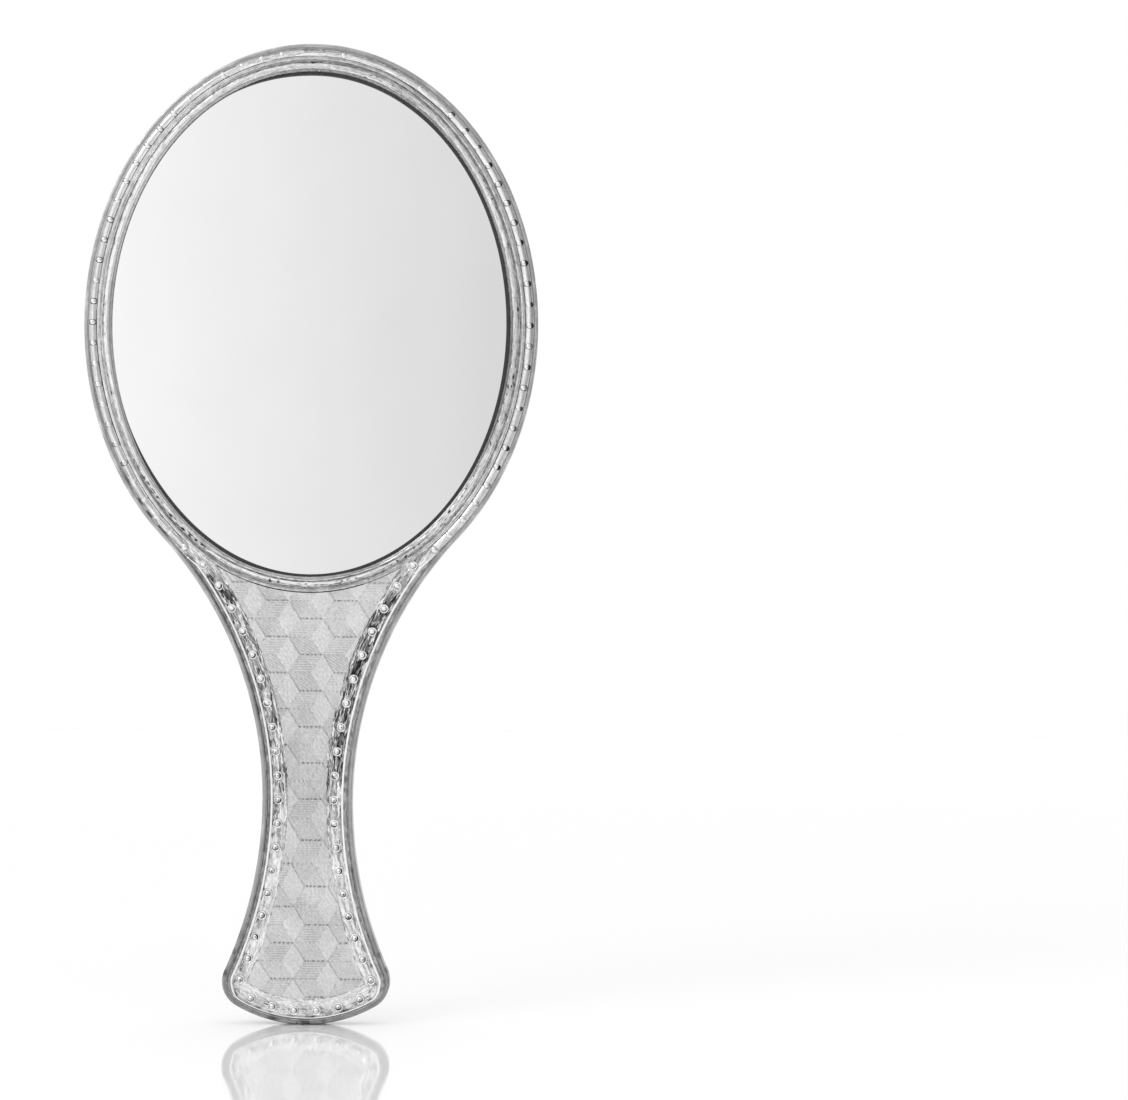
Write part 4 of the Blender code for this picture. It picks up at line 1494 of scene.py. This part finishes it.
        # The studs stand closer together towards the foot, and nearer to the lip there
        share = np.linspace(-1, 1, self.stud_count)
        share = (1 - self.pitch_change) * share + self.pitch_change * share * np.abs(share)
        places = path.at(length / 2 * (1 + share), inset)
        middle = sum(self.outline.channel(places)) / 2
        middle = middle - self.foot_shift * smooth(-places.y, 54, 60)
        left = smooth(-places.x, 0, 6) * (1 - smooth(-places.y, 36, 50))
        spots = places.carry((middle - self.left_shift * left)[:, None], self.top)[:, 0]
        shape = np.array(STUD_PROFILE)
        turn = np.linspace(0, FULL_TURN, self.turn_steps, endpoint=False)
        ring = turned(shape, turn)
        dimple = (np.arange(len(shape)) < DIMPLE_POINTS)[:, None]
        trough = ((shape[:, 0] > TROUGH[0]) & (shape[:, 0] < TROUGH[1]))[:, None]
        draw = np.random.default_rng(self.seed)
        for spot in spots:
            # Painted shade lies in the trough on the side away from the light, more or less of it
            dimple_lift = float(smooth(spot[1], 15, 35)) + draw.uniform(0.0, 0.6)
            way = draw.normal(-0.8, 0.7)
            shade_crescent = smooth(np.cos(turn - way), -0.1, 0.8) * draw.uniform(0.1, 0.7)
            tone = shape[:, None, 2] + dimple * dimple_lift + trough * (0.14 * dimple_lift - shade_crescent)
            aside = self.dimple_shift * np.array([math.cos(way), math.sin(way), 0.0])
            points = ring + spot + dimple[..., None] * aside
            skin.sweep(points, Ends.CAPPED, tone=np.minimum(tone, self.brightest))

    def build(self) -> None:
        """Make the strip with its studs."""
        skin = Skin("handle_stud_foil")
        self.strip(skin)
        self.studs(skin)
        skin.piece(self.finish, "bright_plate", "handle_stud_strip")


@dataclass
class PatternPanel:
    """The satin panel in the handle, pressed with a tumbling-block pattern."""

    outline: Outline
    # Rolled silver sheet with a satin finish: a pale, even grey with a fine grain
    finish: Finish = PanelPlate(
        "satin_silver_panel",
        mottle=0.09,
        mottle_mm=0.55,
        pit_mm=0.45,
        pit_depth_mm=0.012,
        bright=0.30,
    )
    inset: float = 7.2
    head_inset: float = 3.44
    front: float = 3.6
    back: float = 2.6
    sunk: float = 0.1
    column: float = 9.8
    height: float = 10.3
    first_x: float = 7.4
    first_y: float = 46.8
    groove_width: float = 0.20
    groove_depth: float = 0.10
    grain_depth: float = 0.012
    dot_pitch: float = 1.25
    slip: tuple[float, float] = (2.2, -5.0)
    rows: int = 560
    columns: int = 161
    search_run: float = 60.0
    search_points: int = 3000
    search_margin: float = 0.5
    steps: dict[Face, float] = field(
        default_factory=lambda: {Face.SMOOTH: 0.06, Face.DIAGONAL: 0.0, Face.LEVEL: 0.03}
    )
    tones: dict[Face, float] = field(
        default_factory=lambda: {Face.SMOOTH: 0.87, Face.DIAGONAL: 0.83, Face.LEVEL: 0.85}
    )

    def plan(self) -> Array:
        """Give the panel's grid: rows between its two sides, bowed as the head's arc and the foot.

        A row at side point (X, Y) is x = u X and y = Y + (1 - v) top(u) + v foot(u), where top and
        foot are how far the two end arcs bow below their own ends.

        Returns:
            Plan points, shaped (rows, columns, 2).
        """
        outline = self.outline
        side = outline.side()
        tangent = outline.head_run()
        fine = side.at(np.linspace(tangent, tangent + self.search_run, self.search_points))
        reach = outline.reach(fine, self.head_inset, self.inset + self.search_margin)
        start = float(fine.runs()[np.argmax(reach >= self.inset)]) + tangent
        end = side.runs()[-1] - outline.pieces()[-1].runs()[-1]
        part = side.at(np.linspace(start, end, FINE_POINTS))
        length = part.runs(self.inset)[-1]
        path = part.at(np.linspace(0, length, self.rows), self.inset)
        edge = path.carry(np.array([self.inset]), 0.0)[:, 0]
        u = np.linspace(-1, 1, self.columns)
        v = np.linspace(0, 1, self.rows)[:, None]
        a, b = outline.head_a - self.head_inset, outline.head_b - self.head_inset
        top = outline.head_y - b * np.sqrt(1 - (u * edge[0, 0] / a) ** 2)
        radius = outline.foot_radius - self.inset
        foot = outline.foot_y - np.sqrt(radius**2 - (u * edge[-1, 0]) ** 2)
        x = edge[:, :1] * u
        y = edge[:, 1:2] + (1 - v) * (top - top[-1]) + v * (foot - foot[-1])
        return np.stack([x, y], axis=-1)

    def blocks(self, x: Array, y: Array) -> dict[str, Array]:
        """Find each point's place in the tumbling blocks.

        In units of a block's side every block is a regular hexagon, and a point belongs to the
        nearest middle. Its angle about that middle tells which of the three faces it is on.

        Args:
            x: plan x.
            y: plan y.

        Returns:
            Angle in degrees, and distance in millimetres to the edge between the two lined faces,
            to the nearest other level edge and to the nearest sloping edge.
        """
        tall = math.sqrt(3)
        across, along = 1.5 / self.column, tall / self.height
        # The pattern slips aside between the waist and the foot, where the rows are stretched
        slip = smooth(-y, 0, 32)
        px = (x - self.first_x - self.slip[0] * slip) * across
        py = (y - self.first_y - self.slip[1] * slip) * along
        best = np.full(px.shape, np.inf)
        near_x, near_y = np.zeros_like(px), np.zeros_like(py)
        for shift in (-1, 0, 1):
            number = np.round(px / 1.5) + shift
            offset = tall / 2 * (number % 2)
            dx = px - 1.5 * number
            dy = (py - offset) - tall * np.round((py - offset) / tall)
            closer = dx**2 + dy**2 < best
            best = np.where(closer, dx**2 + dy**2, best)
            near_x, near_y = np.where(closer, dx, near_x), np.where(closer, dy, near_y)
        angle = np.degrees(np.arctan2(near_y, near_x)) % 360
        size = 1 / along
        level = tall / 2 - np.abs(near_y)
        seam = np.where(near_x > 0, np.abs(near_y), np.inf)
        slope = np.full(px.shape, np.inf)
        for turn in (30, 150, 210, 330):
            way = math.radians(turn)
            ahead = near_x * math.cos(way) + near_y * math.sin(way)
            slope = np.minimum(slope, tall / 2 - ahead)
        for turn in (120, 240):
            way = math.radians(turn)
            ahead = near_x * math.cos(way) + near_y * math.sin(way)
            aside = np.abs(near_y * math.cos(way) - near_x * math.sin(way))
            slope = np.minimum(slope, np.where(ahead > 0, aside, np.inf))
        return {"angle": angle, "seam": seam * size, "level": level * size, "slope": slope * size}

    def pressed(self, x: Array, y: Array) -> tuple[Array, dict[str, Array]]:
        """Press the blocks into the panel's top: each face at its own step, and grooves between.

        Args:
            x: plan x.
            y: plan y.

        Returns:
            Height of each point, and the values that it carries.
        """
        found = self.blocks(x, y)
        angle = found.pop("angle")
        shares = {f: ((angle >= f.value) & (angle < f.value + 120)) * 1.0 for f in Face}
        # Level edges are rows of dots, sloping edges are broken lines
        wander = 0.35 * Ripple(3.0, 51).at(x, y)
        dots = smooth(np.cos(FULL_TURN * (x + wander) / self.dot_pitch), 0.0, 0.6)
        broken = smooth(Ripple(1.6, 52).at(x, y), 0.1, 0.8)
        near = {k: bell(v, 0.0, self.groove_width) for k, v in found.items()}
        cut = np.maximum(near["seam"] * (0.2 + 0.8 * dots), near["level"] * 0.35 * dots)
        cut = np.maximum(cut, near["slope"] * (0.03 + 0.22 * broken))
        raised = sum(shares[f] * self.steps[f] for f in Face)
        z = self.front - self.sunk + raised - self.groove_depth * cut
        z = z + self.grain_depth * Ripple(0.9, 53).at(x, y)
        tone = sum(shares[f] * self.tones[f] for f in Face) - 0.5 * cut
        tone = tone + 0.02 * Ripple(16.0, 54).at(x, y) - 0.06 * bell(y, 8, 24)
        tone = tone - 0.025 * (1 - smooth(y, 20, 34))
        inside = 1 - cut
        return z, {
            "tone": tone,
            "diagonal": shares[Face.DIAGONAL] * inside * (0.3 + 0.7 * smooth(y, 18, 42)),
            "level": shares[Face.LEVEL] * inside,
        }

    def build(self) -> None:
        """Press the panel's top, and close it with its sides and its back."""
        plan = self.plan()
        x, y = plan[..., 0], plan[..., 1]
        z, values = self.pressed(x, y)
        index = np.arange(x.size).reshape(x.shape)
        border = np.concatenate([index[0, :-1], index[:-1, -1], index[-1, :0:-1], index[:0:-1, 0]])
        lower = np.arange(len(border)) + x.size
        walls = np.stack([border, np.roll(border, -1), np.roll(lower, -1), lower], axis=-1)
        top = np.stack([x, y, z], axis=-1).reshape(-1, 3)
        under = top[border] * (1, 1, 0) + (0, 0, self.back)
        quads = np.concatenate([patches(index), walls])
        values = {k: np.concatenate([v.ravel(), v.ravel()[border]]) for k, v in values.items()}
        skin = Skin("handle_pattern_panel")
        skin.add(np.concatenate([top, under]), quads, (lower,), **values)
        skin.piece(self.finish, "satin_plate", "handle_inlay")


@dataclass
class BackShell:
    """The plated rear tray: flat back with a rounded edge, ledge, rib and three screw bosses."""

    outline: Outline
    # Silver plate on a smooth moulding: a clean grey that mirrors softly, clouded here and there
    finish: Finish = SilverPlate(
        "smooth_silver_back", mottle=0.05, mottle_mm=9.0, dull=0.34, bright=0.1
    )
    inset: float = 1.1
    top: float = -0.7
    back: float = -5.8
    inside: float = -4.2
    wall: float = 1.8
    rounding: float = 2.4
    chamfer: float = 0.15
    draft: float = 0.1
    spacing: float = 0.7
    ledge: tuple[float, float] = (2.4, 9.3)
    rib: tuple[float, float] = (30.0, 31.6)
    ledge_top: float = -2.9
    sink: float = 0.2
    boss: float = 3.0
    bore: float = 1.4
    boss_top: float = 0.4
    bore_end: float = -4.4
    inside_tone: float = 0.4
    round_steps: int = 8
    oval_steps: int = 240
    boss_steps: int = 32

    def tray(self, skin: Skin) -> None:
        """Add the tray: its wall carried round the outline, and rows across its back and floor.

        Args:
            skin: the shell's surfaces.
        """
        side = self.outline.side()
        length = side.runs()[-1]
        half = side.at(np.linspace(0, length, int(length / self.spacing)))
        inner = self.inset + self.wall
        turn = np.linspace(0, math.pi / 2, self.round_steps)
        inset = [inner, inner - self.draft, self.inset + self.chamfer, self.inset]
        inset = np.append(inset, self.inset + self.rounding * (1 - np.cos(turn)))
        height = [self.inside, self.top, self.top, self.top - self.chamfer]
        height = np.append(height, self.back + self.rounding * (1 - np.sin(turn)))
        right = half.carry(inset, height)
        points = np.concatenate([right, right * (-1, 1, 1)])
        index = np.arange(right[..., 0].size).reshape(right.shape[:2])
        mirror = index + index.size
        grids = [index, mirror]
        grids += [np.stack([index[:, k], mirror[:, k]], axis=1) for k in (0, -1)]
        # The tone is lighter on the rounded edge
        z = points[..., 2]
        tone = 0.66 + 0.2 * smooth(-z, 3.5, 4.6) * smooth(z, -5.79, -5.2)
        skin.add(points, np.concatenate([patches(grid) for grid in grids]), tone=tone)

    def supports(self, skin: Skin) -> None:
        """Add the glass ledge and the rib, carried round the oval, and the bosses, turned.

        Args:
            skin: the shell's surfaces.
        """
        oval = self.outline.oval(np.linspace(0, FULL_TURN, self.oval_steps, endpoint=False))
        floor = self.inside - self.sink
        for start, end in (self.ledge, self.rib):
            insets = np.array([start, start, end, end])
            heights = np.array([floor, self.ledge_top, self.ledge_top, floor])
            skin.sweep(oval.carry(insets, heights), Ends.JOINED, tone=self.inside_tone)
        shape = np.array(
            [
                (self.boss, floor),
                (self.boss, self.boss_top),
                (self.bore, self.boss_top),
                (self.bore, self.bore_end),
            ]
        )
        turn = np.linspace(0, FULL_TURN, self.boss_steps, endpoint=False)
        ring = turned(shape, turn).swapaxes(0, 1)
        for y in SCREWS:
            skin.sweep(ring + (0, y, 0), Ends.JOINED, tone=self.inside_tone)

    def build(self) -> None:
        """Make the back shell."""
        skin = Skin("back_shell_plate")
        self.tray(skin)
        self.supports(skin)
        skin.piece(self.finish, "silver_plate", "back_shell")


@dataclass
class GlassGasket:
    """The rubber ring between the glass and the rim, of which the right-hand side shows most."""

    outline: Outline
    # Moulded rubber: near black, with a dry bloom
    finish: Finish = Speckled(
        "moulded_rubber",
        dark="#2C2C2C",
        light="#404040",
        speck_mm=0.8,
        smoothest=0.5,
        roughest=0.7,
        texture_mm=0.3,
    )
    outer: float = 4.8
    lip: float = 8.75
    wide: float = 0.35
    high: float = 0.1
    narrow: float = 1.2
    front: float = 2.8
    over_glass: float = 1.72
    back: float = -1.2
    seat: float = 5.6
    steps: int = 720

    def build(self) -> None:
        """Carry an L section round the oval: a wall round the glass and a lip over its edge.

        The lip's edge runs at inset lip + wide * cos^4 + high * sin on the right and at the top,
        and is drawn back under the rim on the left.
        """
        path = self.outline.oval(np.linspace(0, FULL_TURN, self.steps, endpoint=False))
        turn = self.outline.turn(path.x, path.y)[:, None]
        edge = self.lip + self.wide * np.clip(np.cos(turn), 0, 1) ** 4
        edge = edge + self.high * np.clip(np.sin(turn), 0, 1)
        edge = edge - self.narrow * self.outline.gap(path)
        outer, seat = np.full_like(edge, self.outer), np.full_like(edge, self.seat)
        insets = np.hstack([outer, outer, edge, edge, seat, seat])
        levels = (self.back, self.front, self.over_glass, self.back)
        heights = np.repeat(levels, (1, 2, 2, 1))
        skin = Skin("glass_gasket_ring")
        skin.sweep(path.carry(insets, heights), Ends.JOINED)
        skin.piece(self.finish, "dark_rubber", "glass_gasket")


@dataclass
class FittedParts:
    """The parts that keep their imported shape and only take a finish."""

    # Silvered float glass: a clear mirror with a trace of haze
    glass: Finish = Speckled(
        "silvered_float_glass",
        dark="#F6F6F6",
        light="#F9F9F9",
        speck_mm=30.0,
        metallic=1.0,
        smoothest=0.0,
        roughest=0.015,
        texture_mm=60.0,
        depth_mm=0.0,
    )
    # Pressed grey board: fibres in two greys, quite dull
    board: Finish = Speckled(
        "pressed_grey_board",
        dark="#8A8782",
        light="#9C9892",
        speck_mm=0.7,
        smoothest=0.85,
        roughest=0.95,
        texture_mm=0.5,
        depth_mm=0.03,
    )
    # Acrylic film: pale, waxy and smooth
    film: Finish = Speckled(
        "acrylic_film",
        dark="#DAD8D0",
        light="#E6E4DC",
        speck_mm=2.0,
        smoothest=0.35,
        roughest=0.5,
        texture_mm=1.2,
        depth_mm=0.005,
    )
    # Zinc-plated steel: grey metal with a crystalline bloom
    steel: Finish = Speckled(
        "zinc_plated_steel",
        dark="#9A9B9C",
        light="#C0C1C2",
        speck_mm=0.5,
        metallic=1.0,
        smoothest=0.25,
        roughest=0.4,
        texture_mm=0.3,
    )

    def dress(self, nodes: dict[str, bpy.types.Object]) -> None:
        """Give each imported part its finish.

        Args:
            nodes: the frame's objects by node name.
        """
        finishes = {
            "mirror_glass": self.glass,
            "backing_card": self.board,
            "inlay_tape": self.film,
            "handle_screw_upper": self.steel,
            "handle_screw_middle": self.steel,
            "handle_screw_lower": self.steel,
        }
        for node, finish in finishes.items():
            item = nodes[node]
            item.data.materials.clear()
            item.data.materials.append(finish.material())
            LOG.info("%s: packed shape, %s", node, finish.name)


@dataclass
class Studio:
    """A white floor and backdrop, soft light from the upper left, and the camera."""

    # Millimetres for the floor and the camera, and metres for the lamp
    floor_height: float = -64.0
    floor_half: float = 4000.0
    floor_white: str = "#F8F8F8"
    floor_roughness: float = 0.06
    camera_distance: float = 1050.0
    sensor: float = 36.0
    key_place: tuple[float, float, float] = (-0.9, -1.0, 1.0)
    key_aim: tuple[float, float, float] = (0.0, 0.0, 0.08)
    key_size: float = 0.7
    key_power: float = 4.0

    def floor(self) -> None:
        """Lay a plain white floor with a slight gloss under the foot."""
        half, low = self.floor_half * MM, self.floor_height * MM
        mesh = bpy.data.meshes.new("studio_floor")
        corners = [(-half, -half, low), (half, -half, low), (half, half, low), (-half, half, low)]
        mesh.from_pydata(corners, [], [(0, 1, 2, 3)])
        paint = bpy.data.materials.new("white_studio_floor")
        paint.use_nodes = True
        shader = paint.node_tree.nodes["Principled BSDF"]
        shader.inputs["Base Color"].default_value = linear(self.floor_white)
        shader.inputs["Roughness"].default_value = self.floor_roughness
        mesh.materials.append(paint)
        item = bpy.data.objects.new("studio_floor", mesh)
        bpy.context.scene.collection.objects.link(item)

    def surroundings(self) -> None:
        """Set the world: white behind the mirror, and in front a tent that dims to the right."""
        world = bpy.data.worlds.new("light_tent")
        bpy.context.scene.world = world
        world.use_nodes = True
        tree = world.node_tree
        tree.nodes.clear()
        way = add_node(tree, "TexCoord", out="Generated")
        axes = add_node(tree, "SeparateXYZ", {"Vector": way}).node.outputs
        across = add_node(tree, "Math", {0: axes["X"], 1: 0.5, 2: 0.5}, operation="MULTIPLY_ADD")
        tent = add_node(tree, "ValToRGB", {"Fac": across}, stops=TENT_STOPS)
        ahead = {"Value": axes["Y"], "From Min": 0.15, "From Max": -0.35}
        front = add_node(tree, "MapRange", ahead)
        sides = add_node(tree, "Mix", {0: front, 6: WHITE, 7: tent}, out=2, data_type="RGBA")
        upwards = {"Value": axes["Z"], "From Min": 0.35, "From Max": 0.85}
        above = add_node(tree, "MapRange", upwards)
        light = add_node(tree, "Mix", {0: above, 6: sides, 7: OVERHEAD}, out=2, data_type="RGBA")
        rays = add_node(tree, "LightPath").node.outputs
        seen = add_node(tree, "Math", {0: rays["Is Glossy Ray"], 1: rays["Is Transmission Ray"]})
        behind = add_node(tree, "Math", {0: 1.0, 1: front}, operation="SUBTRACT")
        shown = {0: seen, 1: behind, 2: rays["Is Camera Ray"]}
        white = add_node(tree, "Math", shown, operation="MULTIPLY_ADD", use_clamp=True)
        tent_light = add_node(tree, "Background", {"Color": light})
        backdrop = add_node(tree, "Background", {"Color": WHITE})
        both = add_node(tree, "MixShader", {0: white, 1: tent_light, 2: backdrop})
        output = tree.nodes.new("ShaderNodeOutputWorld")
        tree.links.new(both, output.inputs["Surface"])

    def key(self) -> None:
        """Hang one soft lamp at the upper left, in front."""
        lamp = bpy.data.lights.new("soft_key", "AREA")
        lamp.shape = "DISK"
        lamp.size = self.key_size
        lamp.energy = self.key_power
        item = bpy.data.objects.new("soft_key", lamp)
        item.location = self.key_place
        bpy.context.scene.collection.objects.link(item)
        x, y, z = np.array(self.key_aim) - np.array(self.key_place)
        tilt = math.atan2(math.hypot(x, y), -z)
        item.rotation_euler = (tilt, 0.0, math.atan2(y, x) - math.pi / 2)

    def camera(self) -> None:
        """Stand the camera square to the mirror's face, right of it, as the picture asks."""
        lens = bpy.data.cameras.new("camera")
        lens.sensor_width = self.sensor
        reach = self.camera_distance - SCALE_HEIGHT
        lens.lens = PIXELS_PER_MM * reach * self.sensor / PICTURE_WIDTH
        item = bpy.data.objects.new("camera", lens)
        item.location = (AIM[0] * MM, -self.camera_distance * MM, AIM[1] * MM)
        item.rotation_euler = (math.pi / 2, -LEAN, 0.0)
        bpy.context.scene.collection.objects.link(item)
        bpy.context.scene.camera = item

    def build(self) -> None:
        """Set up the floor, the light and the camera."""
        bpy.context.scene.view_settings.view_transform = "Standard"
        self.floor()
        self.surroundings()
        self.key()
        self.camera()


def main() -> None:
    """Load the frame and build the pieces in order."""
    logging.basicConfig(level=logging.INFO, format="%(name)s %(message)s")
    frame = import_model()
    Studio().build()
    outline = Outline()
    for kind in (FrontFrame, EdgeTrim, RimBeading, StudStrip, PatternPanel, BackShell, GlassGasket):
        kind(outline).build()
    FittedParts().dress(frame["nodes"])


if __name__ == "__main__":
    main()
